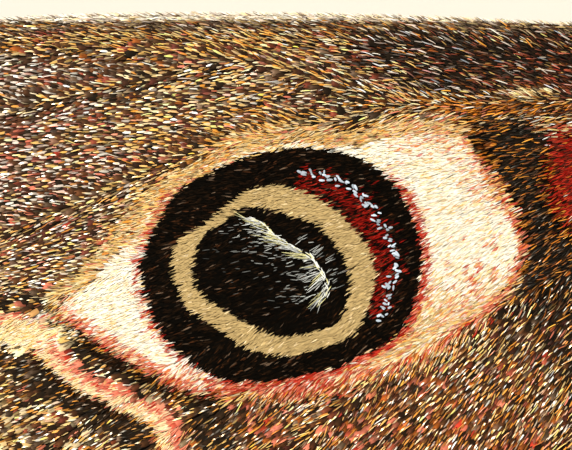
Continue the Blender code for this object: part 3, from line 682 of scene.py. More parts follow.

    # Bands across the outer part
    # Gold and straw weighted by glint are painted highlights at the tips of the bands' dark scales
    marks.paint(band(ragged, INNER_BAND, 0.3),
                {"dark": 8, "black": 2, "brown": 1, "grey": 0.5, "gold": glint, "straw": glint})
    marks.paint(band(ragged, OUTER_BAND, 0.24),
                {"dark": 8, "black": 1, "brown": 1, "grey": 0.4, "gold": glint, "straw": glint / 3})
    away, side, _ = line_distance(ragged, curve_points(PINK_LINE, 0.15))
    marks.paint(soft(-away, -0.22, -0.13), {"cream": 4, "pink": 1.6, "white": 0.3, "straw": 0.8})
    marks.paint(bell(away * side, -0.1, 0.09), {"pink": 5, "red": 1.6, "cream": 1})
    patch((-4.55, 0.86), (0.9, 0.1), {"pink": 3, "red": 2, "cream": 2}, 0.8)
    patch((-4.55, 1.12), (0.85, 0.25), {"cream": 5, "straw": 2, "white": 1.5}, 1.3)

    # The narrow creamy band over the ring, and the pale field on either side of it
    ring_depth = depth_inside(ragged, RING, 0.08)
    near = bell(ring_depth, -0.38, 0.2) * soft(-spot[:, 1], 0.2, 1.0) * light
    marks.paint(near * 0.8, {"gold": 5, "straw": 4, "cream": 1, "rust": 1})
    above = bell(ring_depth, -0.15, 0.13) * soft(-spot[:, 1], 0.2, 1.0)
    marks.paint(above * 0.9, {"tan": 4, "straw": 2.5, "gold": 1.5, "orange": 0.7, "pink": 0.8, "brown": 1})
    field = depth_inside(ragged, WHITE_FIELD)
    front_left = soft(-spot[:, 1] - 0.4 * spot[:, 0], 0.4, 1.2)
    fringe = bell(field, -0.01, 0.065 + 0.08 * soft(spot[:, 0], -1.5, 0.5))
    marks.paint(fringe * 0.85 * (1 - front_left),
                {"pink": 3.5, "red": 2.4, "orange": 1.2, "cream": 1.6, "dark": 0.8})
    reach = (0.16, 0.26, 0.26)[kind]
    marks.paint(bell(field, -0.12, reach) * 0.8 * front_left,
                {"tan": 3.5, "straw": 2.5, "cream": 2.5, "pink": 0.8, "gold": 1, "brown": 0.8})
    marks.paint(soft(field, -0.02, 0.08), {"white": 8, "cream": 2.5, "straw": 0.6})
    corner = soft(-spot[:, 1], 0.7, 1.2) * soft(spot[:, 0], 1.6, 2.4) * bell(field, 0.1, 0.28)
    marks.paint(corner * 0.45, {"pink": 3, "red": 0.8, "orange": 1.5, "cream": 3, "straw": 1})
    lobe = soft(spot[:, 1], 0.4, 0.8) * soft(-spot[:, 0], 1.2, 1.8) * bell(field, 0.06, 0.09)
    marks.paint(lobe * 0.8, {"pink": 4, "red": 1.6, "orange": 1, "cream": 1.4})
    low_right = soft(spot[:, 1], -0.2, 1.0) * soft(spot[:, 0], -0.5, 1.5) * soft(field, -0.05, 0.1)
    marks.paint(low_right * 0.85, {"cream": 2.6, "straw": 2.5, "tan": 4, "gold": 1.2, "pink": 2})
    flecks = soft(cloud(places, 0.13, 12), 0.5, 0.7) * soft(field, 0.0, 0.1)
    flecks = flecks * patch_share(spot, (3.35, 0.1), (0.5, 0.5))
    marks.paint(flecks * 0.8, {"pink": 5, "red": 1.5, "orange": 1, "cream": 1.5})
    below = soft(spot[:, 1], 1.5, 1.8) * bell(spot[:, 0], 0, 1.3, 4) * soft(field, -0.2, 0.0)
    marks.paint(below * 0.85, {"pink": 3, "red": 2.4, "rose": 2.4, "rust": 1.6, "cream": 1.2, "brown": 0.8})
    upper_left = soft(-spot[:, 1], 0.0, 0.7) * soft(-spot[:, 0], -0.5, 0.4) * soft(field, -0.05, 0.1)
    marks.paint(upper_left * 0.85, {"cream": 2.5, "straw": 2.5, "tan": 3, "orange": 0.8, "pink": 0.9})

    # The dark band on the body's side of the field, and the deep red beyond it
    away, side, _ = line_distance(ragged, curve_points(ANTEMEDIAL_EDGE, 0.1))
    basal = np.where(side < 0, away, -away)
    length = soft(spot[:, 1], -2.72, -2.35) * (0.3 + 0.7 * soft(-spot[:, 1], -1.0, -0.2))
    marks.paint(soft(basal, 0.0, 0.1) * soft(-away, -1.25, -0.9) * length,
                {"dark": 3, "black": 8, "rust": 0.5 + 2 * light, "gold": 2.5 * light, "ochre": 2 * light})
    red = patch_share(spot, (5.1, -1.55), (0.65, 0.95))
    marks.paint(soft(red, 0.15, 0.75) * 0.95, {"crimson": 4, "red": 3.4, "orange": 1.2 * light, "dark": 2})
    red = bell(spot[:, 0] - 5.4 - 0.3 * spot[:, 1], 0, 0.3)
    marks.paint(soft(red, 0.3, 0.7) * soft(spot[:, 1], -2.6, -2.0) * 0.8,
                {"crimson": 3, "red": 3, "dark": 2, "umber": 2})

    # The eyespot: black ring, tan ring, black middle
    around = soft(np.abs(spot[:, 0]) + 0.6 * spot[:, 1], 0.6, 1.3)
    marks.paint(bell(ring_depth, -0.06, 0.08) * around * np.where(spot[:, 0] < 0, 0.6, 0.9),
                {"red": 5, "crimson": 1.5, "pink": 2})
    marks.paint(soft(ring_depth, -0.01, 0.01),
                {"black": 20, "dark": 5, "brown": 0.4 + 0.6 * light, "grey": 0.7 * light})
    tan_depth = depth_inside(ragged, TAN_OUTER, 0.08)
    frost_away, frost_side, frost_along = line_distance(ragged, curve_points(FROST_LINE, 0.06))
    crescent = soft(-tan_depth, -0.01, 0.01) * (frost_side > 0) * soft(ring_depth, 0.1, 0.2)
    crescent = crescent * (frost_along > 0.002) * (frost_along < 0.995)
    crescent = crescent * (0.25 + 0.45 * soft(cloud(places, 0.09, 9), 0.35, 0.6))
    crescent = crescent * (1 - 0.5 * soft(-frost_along, -0.25, -0.05))
    marks.paint(crescent, {"crimson": 6, "red": 1, "black": 2.5})
    beyond = bell(frost_away, 0, 0.16) * (frost_along > 0.02) * (frost_along < 0.95)
    marks.paint(beyond * 0.3, {"crimson": 3, "red": 1, "black": 2})
    marks.paint(soft(tan_depth, -0.01, 0.01), {"tan": 8, "cream": 0.4})
    marks.paint(soft(depth_inside(ragged, TAN_INNER, 0.08), -0.01, 0.01),
                {"black": 22, "dark": 4, "brown": 0.4 * light, "grey": 0.4 * light})
    return marks


def zones(places, chance):
    """0 on the ground of the wing; 1 on the eyespot, the pale field, the pink line and the red patch,
    whose scales are finer; and 2 by the front edge and nearer the body, where they are short and narrow.
    Near the borders they mix."""
    spot = from_spot(places)
    fine = np.maximum(depth_inside(spot, RING, 0.15), depth_inside(spot, WHITE_FIELD, 0.15))
    fine = soft(fine + 0.1 * soft(-spot[:, 1], 0.2, 1.0), -0.28, -0.06)
    fine = np.maximum(fine, soft(patch_share(spot, (-4.55, 1.04), (0.8, 0.32)), 0.3, 0.6))
    fine = np.maximum(fine, band(spot, PINK_LINE, 0.2, 0.06))
    red = patch_share(spot, (5.1, -1.5), (0.6, 0.95))
    fine = np.maximum(fine, soft(red, 0.2, 0.7))
    short = soft(-spot[:, 1], 3.62, 3.82)
    short = np.maximum(short, soft(spot[:, 0], 0.4, 2.2) * soft(-spot[:, 1], 1.0, 1.6))
    short = np.maximum(short, soft(spot[:, 0], 3.6, 3.9) * soft(-spot[:, 1], -1.2, -0.4))
    toss = chance.random(len(places))
    return np.where(toss < fine, 1, np.where(toss < short, 2, 0))


def stroke_share(places, loose):
    """The share of the narrow scales and hairs that there are over the broad scales: fewer on the
    pink line and on the dark parts by the body, and few loose ones by the outer bands."""
    spot = from_spot(places)
    dark = soft(spot[:, 0], 1.2, 2.4) * bell(spot[:, 1], -3.35, 0.45, 4)
    inner = soft(spot[:, 0], 3.3, 3.7) * soft(spot[:, 1], -2.5, -2.2) * soft(-spot[:, 1], -1.5, -0.8)
    dark = np.maximum(dark, inner)
    low = soft(-spot[:, 0], 1.5, 2.2) * soft(spot[:, 1] - 0.3 * spot[:, 0], 1.9, 2.3)
    bare = np.maximum(band(spot, PINK_LINE, 0.24), 0.6 * band(spot, INNER_BAND, 0.2))
    bare = np.maximum(bare, 0.6 * soft(spot[:, 1], 1.2, 1.8) * soft(cloud(places, 0.15, 8), 0.55, 0.8))
    left = soft(-spot[:, 0], 0.8, 2.4) * soft(spot[:, 1], -3.5, -3.0)
    share = (1 - 0.8 * bare) * (1 - 0.3 * dark) * (1 - (0.75 if loose else 0.1) * low)
    return share * (1 - (0.6 if loose else 0) * left)


def hindwing_marks(places, chance, kind):
    """The hindwing's upper side: orange, with an eyespot, a dark wavy line and a dark outer band."""
    spot = from_spot(places, HIND_SPOT)
    ragged = spot + chance.normal(0, 0.05, spot.shape)
    marks = Markings(len(places), {"ochre": 6, "orange": 2.5, "rust": 1.5, "gold": 1.0})
    base = np.hypot(places[:, 0], places[:, 1])
    marks.paint(soft(-base, -5.6, -3.6) * 0.85, {"brown": 4, "rust": 3, "dark": 1.5, "ochre": 1})
    front = soft(-spot[:, 1], 3.6, 4.8)
    marks.paint(front * 0.8, {"silver": 2, "cream": 2, "grey": 2, "pink": 1, "tan": 2})
    rim = depth_inside(places, HINDWING["outline"], 0.25)
    outer = soft(base, 9.0, 11.5)
    marks.paint(soft(-rim, -1.1, -0.9) * outer, {"tan": 3, "ochre": 2, "pink": 1.5, "grey": 1})
    marks.paint(bell(rim, 1.55, 0.55, 4) * outer, {"dark": 5, "black": 2, "umber": 2})
    wavy = rim - 4.0 - 0.25 * np.sin(ragged[:, 1] * 2.4)
    marks.paint(bell(wavy, 0, 0.24, 4) * outer, {"dark": 5, "umber": 2, "rust": 1})
    far = np.hypot(ragged[:, 0], ragged[:, 1])
    marks.paint(soft(-far, -2.5, -2.2) * 0.7, {"ochre": 3, "straw": 2, "orange": 2})
    marks.paint(soft(-far, -1.65, -1.58), {"black": 1})
    inward = (ragged[:, 0] > 0.3) & (far < 1.45) & (far > 1.05)
    marks.paint(inward * 0.6, {"crimson": 3, "red": 1, "black": 3})
    marks.paint(bell(far, 1.4, 0.07) * (ragged[:, 0] > 0.5), {"frost": 1})
    marks.paint(soft(-far, -1.08, -1.02), {"tan": 5, "gold": 1})
    marks.paint(soft(-far, -0.8, -0.74), {"black": 1})
    return marks


def forewing_under(places, chance, kind):
    """The forewing's underside: orange in the middle, with the eyespot of the upper side."""
    spot = from_spot(places)
    ragged = spot + chance.normal(0, 0.05, spot.shape)
    marks = Markings(len(places), {"ochre": 5, "orange": 3, "tan": 1.5, "gold": 1})
    rim = depth_inside(places, FOREWING["outline"], 0.25)
    marks.paint(soft(-spot[:, 1], 2.9, 3.6), {"silver": 2, "grey": 3, "pink": 2, "cream": 1})
    outer = soft(-spot[:, 0], -2.0, 2.5)
    marks.paint(soft(-rim, -2.4, -1.9) * outer, {"grey": 3, "brown": 2, "silver": 1.5, "pink": 0.8})
    marks.paint(band(ragged, RIM_BAND, 0.6, 0.15), {"cream": 3, "silver": 2, "pink": 1})
    marks.paint(band(ragged, APEX_STREAK, 0.25), {"crimson": 2, "red": 3})
    marks.paint(band(ragged, INNER_BAND, 0.2, 0.1), {"umber": 3, "dark": 3, "rust": 1})
    far = np.hypot(ragged[:, 0], ragged[:, 1])
    marks.paint(soft(-far, -3.0, -2.5) * 0.8, {"cream": 3, "straw": 2, "pink": 1})
    marks.paint(soft(-far, -2.05, -1.95), {"black": 1})
    marks.paint(soft(-far, -1.5, -1.42), {"tan": 4, "gold": 1})
    marks.paint(soft(-far, -1.1, -1.03), {"black": 1})
    return marks


def hindwing_under(places, chance, kind):
    """The hindwing's underside: pinkish grey, with the eyespot and pale and dark lines."""
    spot = from_spot(places, HIND_SPOT)
    ragged = spot + chance.normal(0, 0.05, spot.shape)
    marks = Markings(len(places), {"grey": 3, "silver": 3, "pink": 2.5, "umber": 1, "tan": 1})
    rim = depth_inside(places, HINDWING["outline"], 0.25)
    outer = soft(np.hypot(places[:, 0], places[:, 1]), 8.0, 10.5)
    marks.paint(bell(rim, 1.5, 0.5, 4) * outer, {"cream": 3, "silver": 3, "pink": 1})
    marks.paint(bell(rim, 3.9, 0.25, 4) * outer, {"umber": 4, "dark": 2, "red": 1})
    far = np.hypot(ragged[:, 0], ragged[:, 1])
    marks.paint(soft(-far, -2.4, -2.0) * 0.8, {"cream": 3, "silver": 1, "pink": 1})
    marks.paint(soft(-far, -1.6, -1.52), {"black": 1})
    marks.paint(soft(-far, -1.15, -1.08), {"tan": 4, "gold": 1})
    marks.paint(soft(-far, -0.8, -0.74), {"black": 1})
    return marks


FOREWING["upper"], FOREWING["under"] = forewing_marks, forewing_under
HINDWING["upper"], HINDWING["under"] = hindwing_marks, hindwing_under


def wing_lie(wing, places, chance, spread):
    """The direction in which scales point: away from a place near the stem of the veins, splayed
    to either side of each vein, and nearly along the wing by its front edge."""
    if wing is FOREWING:
        ahead = np.maximum(places[:, 0] - FAN_POINT[0], 1.2 + 0.25 * np.maximum(places[:, 0], 0))
        behind = places[:, 1] - FAN_POINT[1]
        behind = np.where(behind < 0, behind * 1.8, behind)
    else:
        ahead = np.maximum(places[:, 0] + 1.0, 1.0)
        behind = places[:, 1] * 0.8
    depth, _, splay = wing["chart"].read(places).T
    angle = np.arctan2(behind, ahead) + 0.33 * np.clip(splay, -1, 1) * soft(depth, 0.3, 0.9)
    angle = np.where(angle < 0, angle * (0.35 + 0.65 * soft(depth, 0.05, 0.4)), angle)
    angle += chance.normal(0, spread, len(places))
    return np.stack([np.cos(angle), np.sin(angle)], 1)


def lattice(low, high, pitch, turn, jitter, chance):
    """A lattice of staggered rows over a rectangle, turned by an angle and shaken a little."""
    low, high = np.array(low, float), np.array(high, float)
    middle = (low + high) / 2
    reach = np.linalg.norm(high - low) / 2 + max(pitch)
    i, j = np.meshgrid(*(np.arange(int(2 * reach / step)) for step in pitch), indexing="ij")
    spots = np.stack([
        (i.ravel() * pitch[0]) - reach,
        (j.ravel() + 0.5 * (i.ravel() % 2)) * pitch[1] - reach,
    ], 1)
    spots += chance.uniform(-jitter, jitter, spots.shape) * np.array(pitch)
    c, s = math.cos(turn), math.sin(turn)
    spots = spots @ np.array([[c, s], [-s, c]]) + middle
    return spots[((spots > low) & (spots < high)).all(1)]


def fan_lattice(low, high, pitch, offset, jitter, chance):
    """Rows of places on rings round the scales' fan point, as many in each ring as fit. The rings'
    starts are worked out from their number, so that layers with the same pitch line up, offset by
    shares of the pitch."""
    low, high = np.array(low, float), np.array(high, float)
    rings = np.arange(1, int(np.linalg.norm(high - low) / pitch[0]) + 1)
    fit = (TAU * rings * pitch[0] / pitch[1]).astype(int)
    ring = np.repeat(rings, fit)
    number = np.arange(fit.sum()) - np.repeat(np.cumsum(fit) - fit, fit)
    angle = TAU * (number + np.mod(ring * 0.618, 1) + offset[1]) / np.repeat(fit, fit)
    reach = (ring + offset[0]) * pitch[0]
    spots = FAN_POINT + np.stack([reach * np.cos(angle), reach * np.sin(angle)], 1)
    spots += chance.uniform(-jitter, jitter, spots.shape) * np.array(pitch)
    return spots[((spots > low) & (spots < high)).all(1)]


def window_share(places, chance):
    """True in the part of the forewing that the camera sees and a little round it, with a loose edge."""
    spot = from_spot(places) + chance.normal(0, 0.18, places.shape)
    left = -SPOT_PIXEL[0] * PIXEL - VIEW_MARGIN
    right = (VIEW_WIDTH - SPOT_PIXEL[0]) * PIXEL + VIEW_MARGIN
    back = (VIEW_HEIGHT - SPOT_PIXEL[1]) * PIXEL + VIEW_MARGIN
    return (spot[:, 0] > left) & (spot[:, 0] < right) & (spot[:, 1] < back)


def add_node(tree, kind, **settings):
    node = tree.nodes.new(kind)
    for name, value in settings.items():
        setattr(node, name, value)
    return node


def feed(tree, socket, value):
    """Sets an input to a number, or links it from the output of another node."""
    if isinstance(value, bpy.types.NodeSocket):
        tree.links.new(value, socket)
    else:
        socket.default_value = value


def add_math(tree, operation, first, second):
    node = add_node(tree, "ShaderNodeMath", operation=operation)
    feed(tree, node.inputs[0], first)
    feed(tree, node.inputs[1], second)
    return node.outputs[0]


def add_ramp(tree, value, **ends):
    """Maps one range to another. Its ends, such as from_max, are numbers or outputs of other nodes."""
    node = add_node(tree, "ShaderNodeMapRange")
    feed(tree, node.inputs["Value"], value)
    for name, end in ends.items():
        feed(tree, node.inputs[name.replace("_", " ").title()], end)
    return node.outputs["Result"]


def painted_shade_and_highlight():
    """The painted shade and highlight of a blade of the coat as a node group: darker at its root and sides,
    as painted shade where the blades overlap and shadow each other, and brighter at its tip, as a
    painted highlight. Green and blue follow it by a power, so that the painted shade is warm and the
    painted highlight pale."""
    if "Painted blade shade and highlight" in bpy.data.node_groups:
        return bpy.data.node_groups["Painted blade shade and highlight"]
    tree = bpy.data.node_groups.new("Painted blade shade and highlight", "ShaderNodeTree")
    for name, value in (("Painted root shade", 0.5), ("Reach", 0.6), ("Side", 0.8), ("Painted tip highlight", 1.0)):
        socket = tree.interface.new_socket(name, in_out="INPUT", socket_type="NodeSocketFloat")
        socket.default_value = value
    tree.interface.new_socket("Painted shade and highlight", in_out="OUTPUT", socket_type="NodeSocketColor")
    given = add_node(tree, "NodeGroupInput").outputs
    result = add_node(tree, "NodeGroupOutput")
    own = add_node(tree, "ShaderNodeUVMap", uv_map="blade")
    split = add_node(tree, "ShaderNodeSeparateXYZ")
    tree.links.new(own.outputs["UV"], split.inputs[0])
    across, along = split.outputs["X"], split.outputs["Y"]
    # Painted shade towards the root, over the reach along the blade, and towards its sides; painted
    # highlight over the last part towards the tip
    root = add_ramp(tree, along, from_max=given["Reach"], to_min=given["Painted root shade"])
    tip = add_ramp(tree, along, from_min=0.72, from_max=0.94, to_min=1.0, to_max=given["Painted tip highlight"])
    side = add_ramp(tree, add_math(tree, "PINGPONG", across, 0.5), from_max=0.5, to_min=given["Side"])
    painted_light = add_math(tree, "MULTIPLY", add_math(tree, "MULTIPLY", root, side), tip)
    joined = add_node(tree, "ShaderNodeCombineColor")
    for channel, power in (("Red", 1.0), ("Green", 1.1), ("Blue", 1.35)):
        feed(tree, joined.inputs[channel], add_math(tree, "POWER", painted_light, power))
    tree.links.new(joined.outputs["Color"], result.inputs["Painted shade and highlight"])
    return tree


def new_finish(name):
    """A new material, its node tree and its shader."""
    made = bpy.data.materials.new(name)
    made.use_nodes = True
    return made, made.node_tree, made.node_tree.nodes["Principled BSDF"]


def tinted_finish(name, root, side, tip, rough_dark, rough_light, shine=0.3, reach=0.6, glint=(1, 1, 1)):
    """A finish coloured by the attribute tint, with painted shade at the root and sides of each blade and a
    painted highlight at its tip, less of both where it is pale. Glint is the colour of its specular
    highlights."""
    made, tree, shader = new_finish(name)
    tint = add_node(tree, "ShaderNodeAttribute", attribute_name="tint")
    shade = add_node(tree, "ShaderNodeGroup", node_tree=painted_shade_and_highlight())
    for socket, value in (("Painted root shade", root), ("Reach", reach), ("Side", side), ("Painted tip highlight", tip)):
        shade.inputs[socket].default_value = value
    # The tint multiplied by the painted shade and highlight, less so where the tint is pale
    shaded = add_node(tree, "ShaderNodeMix", data_type="RGBA", blend_type="MULTIPLY", clamp_result=True)
    painted_shade_strength = add_ramp(tree, tint.outputs["Fac"], from_max=0.5, to_min=1.0, to_max=0.25)
    tree.links.new(painted_shade_strength, shaded.inputs["Factor"])
    tree.links.new(tint.outputs["Color"], shaded.inputs["A"])
    tree.links.new(shade.outputs["Painted shade and highlight"], shaded.inputs["B"])
    tree.links.new(shaded.outputs["Result"], shader.inputs["Base Color"])
    rough = add_ramp(tree, tint.outputs["Fac"], from_max=0.25, to_min=rough_dark, to_max=rough_light)
    tree.links.new(rough, shader.inputs["Roughness"])
    shader.inputs["Specular IOR Level"].default_value = shine
    shader.inputs["Specular Tint"].default_value = (*glint, 1)
    return made


def skin_finish(name, roughness=0.75):
    """A plain finish coloured by the attribute tint."""
    made, tree, shader = new_finish(name)
    tint = add_node(tree, "ShaderNodeAttribute", attribute_name="tint")
    tree.links.new(tint.outputs["Color"], shader.inputs["Base Color"])
    shader.inputs["Roughness"].default_value = roughness
    shader.inputs["Specular IOR Level"].default_value = 0.2
    return made


def grow_on_wing(wing, places, chance, sizes, kind, size, rise, droop, spread, shade, upper=True, calm=0.0):
    """What add_coat needs for blades rooted at places on a wing. A blade takes the marking that lies
    under its middle."""
    count = len(places)
    lie = wing_lie(wing, places, chance, spread)
    length = size[0] * chance.uniform(0.85, 1.2, count)
    marks = wing["upper" if upper else "under"](places + lie * length[:, None] * 0.55, chance, kind)
    along, up = wing_frames(wing, places, lie, upper)
    relief = wing_relief(wing, places, sizes)
    rise = rise * chance.uniform(0.75, 1.3, count)
    return {
        "root": wing_point(wing, places, relief if upper else -relief),
        "along": along,
        "up": up,
        "length": length,
        "width": size[1] * chance.uniform(0.85, 1.2, count),
        "rise": rise,
        "droop": rise * droop,
        "cup": 0.12,
        "colour": marks.draw(chance, shade, calm),
    }


class WingSizes(bpy.types.PropertyGroup):
    half_thickness: bpy.props.FloatProperty(
        name="Half thickness", description="Half the thickness of a wing's skin", default=0.00012,
        unit="LENGTH")
    vein_rise: bpy.props.FloatProperty(
        name="Vein rise", description="Height of the veins over the skin", default=0.00004, unit="LENGTH")
    scale_length: bpy.props.FloatProperty(
        name="Scale length", description="Length of a broad scale", default=0.00019, unit="LENGTH")
    scale_width: bpy.props.FloatProperty(
        name="Scale width", description="Width of a broad scale", default=0.000108, unit="LENGTH")
    hair_length: bpy.props.FloatProperty(
        name="Hair length", description="Length of a hair-like scale", default=0.00021, unit="LENGTH")
    hair_width: bpy.props.FloatProperty(
        name="Hair width", description="Width of a hair-like scale", default=0.000015, unit="LENGTH")
    fringe_length: bpy.props.FloatProperty(
        name="Fringe length", description="Length of the outer margin's fringe", default=0.0005,
        unit="LENGTH")


class FurSizes(bpy.types.PropertyGroup):
    thorax_length: bpy.props.FloatProperty(
        name="Thorax fur", description="Length of the fur of the thorax", default=0.0017, unit="LENGTH")
    abdomen_length: bpy.props.FloatProperty(
        name="Abdomen fur", description="Length of the fur of the abdomen", default=0.0011, unit="LENGTH")
    head_length: bpy.props.FloatProperty(
        name="Head fur", description="Length of the fur of the head", default=0.0007, unit="LENGTH")
    leg_length: bpy.props.FloatProperty(
        name="Leg fur", description="Length of the fur of the legs", default=0.00042, unit="LENGTH")
    tuft_width: bpy.props.FloatProperty(
        name="Tuft width", description="Width of one tuft of fur", default=0.000046, unit="LENGTH")


class MOTH_OT_wing_skins(bpy.types.Operator):
    """The four wing skins, each one closed surface with its veins raised in it"""

    bl_idname = "moth.wing_skins"
    bl_label = "Wing skins"

    def execute(self, context):
        sizes = context.scene.moth_wings
        finish = skin_finish("wing_skin")
        for wing in (FOREWING, HINDWING):
            wing["chart"] = Chart(wing)
            for side, mirror in SIDES:
                self.skin(wing, side, mirror, sizes, finish)
        return {"FINISHED"}

    def skin(self, wing, side, mirror, sizes, finish):
        """A tube from root to tip: a ring of it leads from the front margin over the top to the hind
        margin and back underneath, and its places across follow (1 - cos turn) / 2."""
        outline = np.asarray(wing["outline"])
        tip = outline[:, 0].argmax()
        rows, columns = 130, 130
        share = np.linspace(0, 1, rows)

        def even(points):
            line = curve_points(points, 0.1)
            walked = walked_along(line)
            return np.stack([np.interp(share * walked[-1], walked, line[:, k]) for k in (0, 1)], 1)

        front, back = even(outline[:tip + 1]), even(outline[tip:][::-1])
        turn = TAU * np.arange(columns) / columns
        v = ((1 - np.cos(turn)) / 2)[None, :, None]
        places = (front[:, None] * (1 - v) + back[:, None] * v).reshape(-1, 2)
        over = np.tile(np.sign(np.round(np.sin(turn), 9)), rows)
        points = wing_point(wing, places, wing_relief(wing, places, sizes) * over)
        faces = grid_faces(rows, columns, wrap=True)[:, ::-1]
        piece = new_piece(f"{wing['node']}_{side}_skin", points, faces, finish, mirror)
        chance = np.random.default_rng(SEED)
        upper = wing["upper"](places, chance, 0).mean()
        under = wing["under"](places, chance, 0).mean()
        tint = np.where(over[:, None] >= 0, upper, under)
        # Painted shade: the skin is darker than the markings over it, down to 0.3 of them under dark ones,
        # so the gaps between the scales read as shade
        add_tint(piece, tint * (0.3 + 0.6 * soft(upper.mean(1, keepdims=True), 0.3, 0.6)))
        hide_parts(f"{wing['node']}_{side}")


class MOTH_OT_eyespot_scales(bpy.types.Operator):
    """The scales of the left forewing round its eyespot, at their real size"""

    bl_idname = "moth.eyespot_scales"
    bl_label = "Eyespot scales"

    def execute(self, context):
        sizes = context.scene.moth_wings
        # Painted shade at the roots and sides of the broad and hair scales and a painted highlight at their
        # tips, 1.6 times as bright; none on the fine scales
        broad = tinted_finish("broad_scales", 0.0, 0.3, 1.6, 0.45, 0.4, 0.4, 0.85, (1.0, 0.75, 0.5))
        fine = tinted_finish("fine_scales", 1.0, 1.0, 1.0, 0.45, 0.5, 0.09, 0.6, (1.0, 0.85, 0.65))
        hair = tinted_finish("hair_scales", 0.3, 0.9, 1.6, 0.34, 0.26, 0.8, 0.5, (1.0, 0.9, 0.74))
        scale = (sizes.scale_length / MM, sizes.scale_width / MM)
        thread = (sizes.hair_length / MM, sizes.hair_width / MM)
        rows = (0.112, 0.1)
        # Name, zone, kind, blade, finish, pitch, offset, jitter, size, rise, droop, lift and spread
        layers = (
            ("broad", 0, 0, TOOTHED, broad, rows, (0, 0), 0.08, scale, 0.34, 0.6, 0, 0.05),
            # The cover and second layers: pale narrow scales lined up with the broad ones, partly the real
            # pale scales and partly a painted highlight along each broad scale's edge
            ("cover", 0, 1, HAIR, hair, rows, (0.45, 0.5), 0.1, (0.15, 0.026), 0.42, 0.8, 0.02, 0.07),
            ("second", 0, 1, HAIR, hair, rows, (0.85, 0.2), 0.18, (0.125, 0.016), 0.42, 0.8, 0.02, 0.1),
            ("hairs", 0, 2, HAIR, hair, (0.19, 0.17), (0.1, 0.2), 0.5, thread, 0.5, 0.8, 0.025, 0.18),
            ("lances", 1, 0, LANCE, fine, (0.062, 0.046), (0, 0), 0.4, (0.2, 0.052), 0.13, 0.4, 0.02, 0.08),
            ("fine", 1, 2, HAIR, fine, (0.05, 0.036), (0, 0), 0.5, (0.17, 0.018), 0.2, 0.4, 0.02, 0.14),
            ("edge", 2, 0, LANCE, broad, (0.075, 0.05), (0, 0), 0.4, (0.16, 0.044), 0.3, 0.8, 0, 0.1),
            ("edge_hairs", 2, 1, HAIR, hair, (0.065, 0.048), (0.5, 0), 0.5, (0.125, 0.015), 0.4, 0.8, 0.015,
             0.14),
            ("edge_threads", 2, 2, HAIR, hair, (0.15, 0.13), (0.5, 0), 0.5, (0.19, 0.019), 0.4, 0.8, 0.03,
             0.16),
        )
        for seed, (name, *layer) in enumerate(layers, FIRST_VIEW_SEED):
            self.layer(f"forewing_left_view_{name}", sizes, seed, *layer)
        return {"FINISHED"}

    def layer(self, name, sizes, seed, zone, kind, blade, finish, pitch, offset, jitter, size, rise, droop,
              lift, spread):
        """Blades of one kind in one zone. Offset and jitter are shares of the pitch; lift is a height."""
        chance = np.random.default_rng(seed)
        places = fan_lattice(VIEW_LOW, VIEW_HIGH, pitch, offset, jitter, chance)
        places = places[window_share(places, chance)]
        places = places[FOREWING["chart"].read(places)[:, 0] > 0.03 + 0.3 * size[0] * (places[:, 1] < 0)]
        keep = zones(places, chance) == zone
        if kind > 0 and zone != 1:
            keep &= chance.random(len(places)) < stroke_share(places, jitter > 0.3)
        places = places[keep]
        shade = 0.09 if zone == 1 else 0.3
        grown = grow_on_wing(FOREWING, places, chance, sizes, kind, size, rise, droop, spread, shade)
        grown["root"] = grown["root"] + grown["up"] * lift
        if blade is TOOTHED:
            grown["cup"] = 0.02
        if kind == 1 and zone == 0:
            spot = from_spot(places)
            front = soft(-spot[:, 0], -1.0, 1.5) * soft(-spot[:, 1], 0.3, 1.5)
            back = soft(-spot[:, 0], 2.8, 3.6) * soft(spot[:, 1], 2.0, 2.5)
            grown["width"] = grown["width"] * (1 + 0.45 * np.maximum(front, back))
        if kind > 0 and zone != 1:
            roll = chance.normal(0.1, 0.4, (len(places), 1))
            grown["up"] = unit(grown["up"] + np.cross(grown["along"], grown["up"]) * roll)
        add_coat(name, blade, grown, view_map(places), finish)


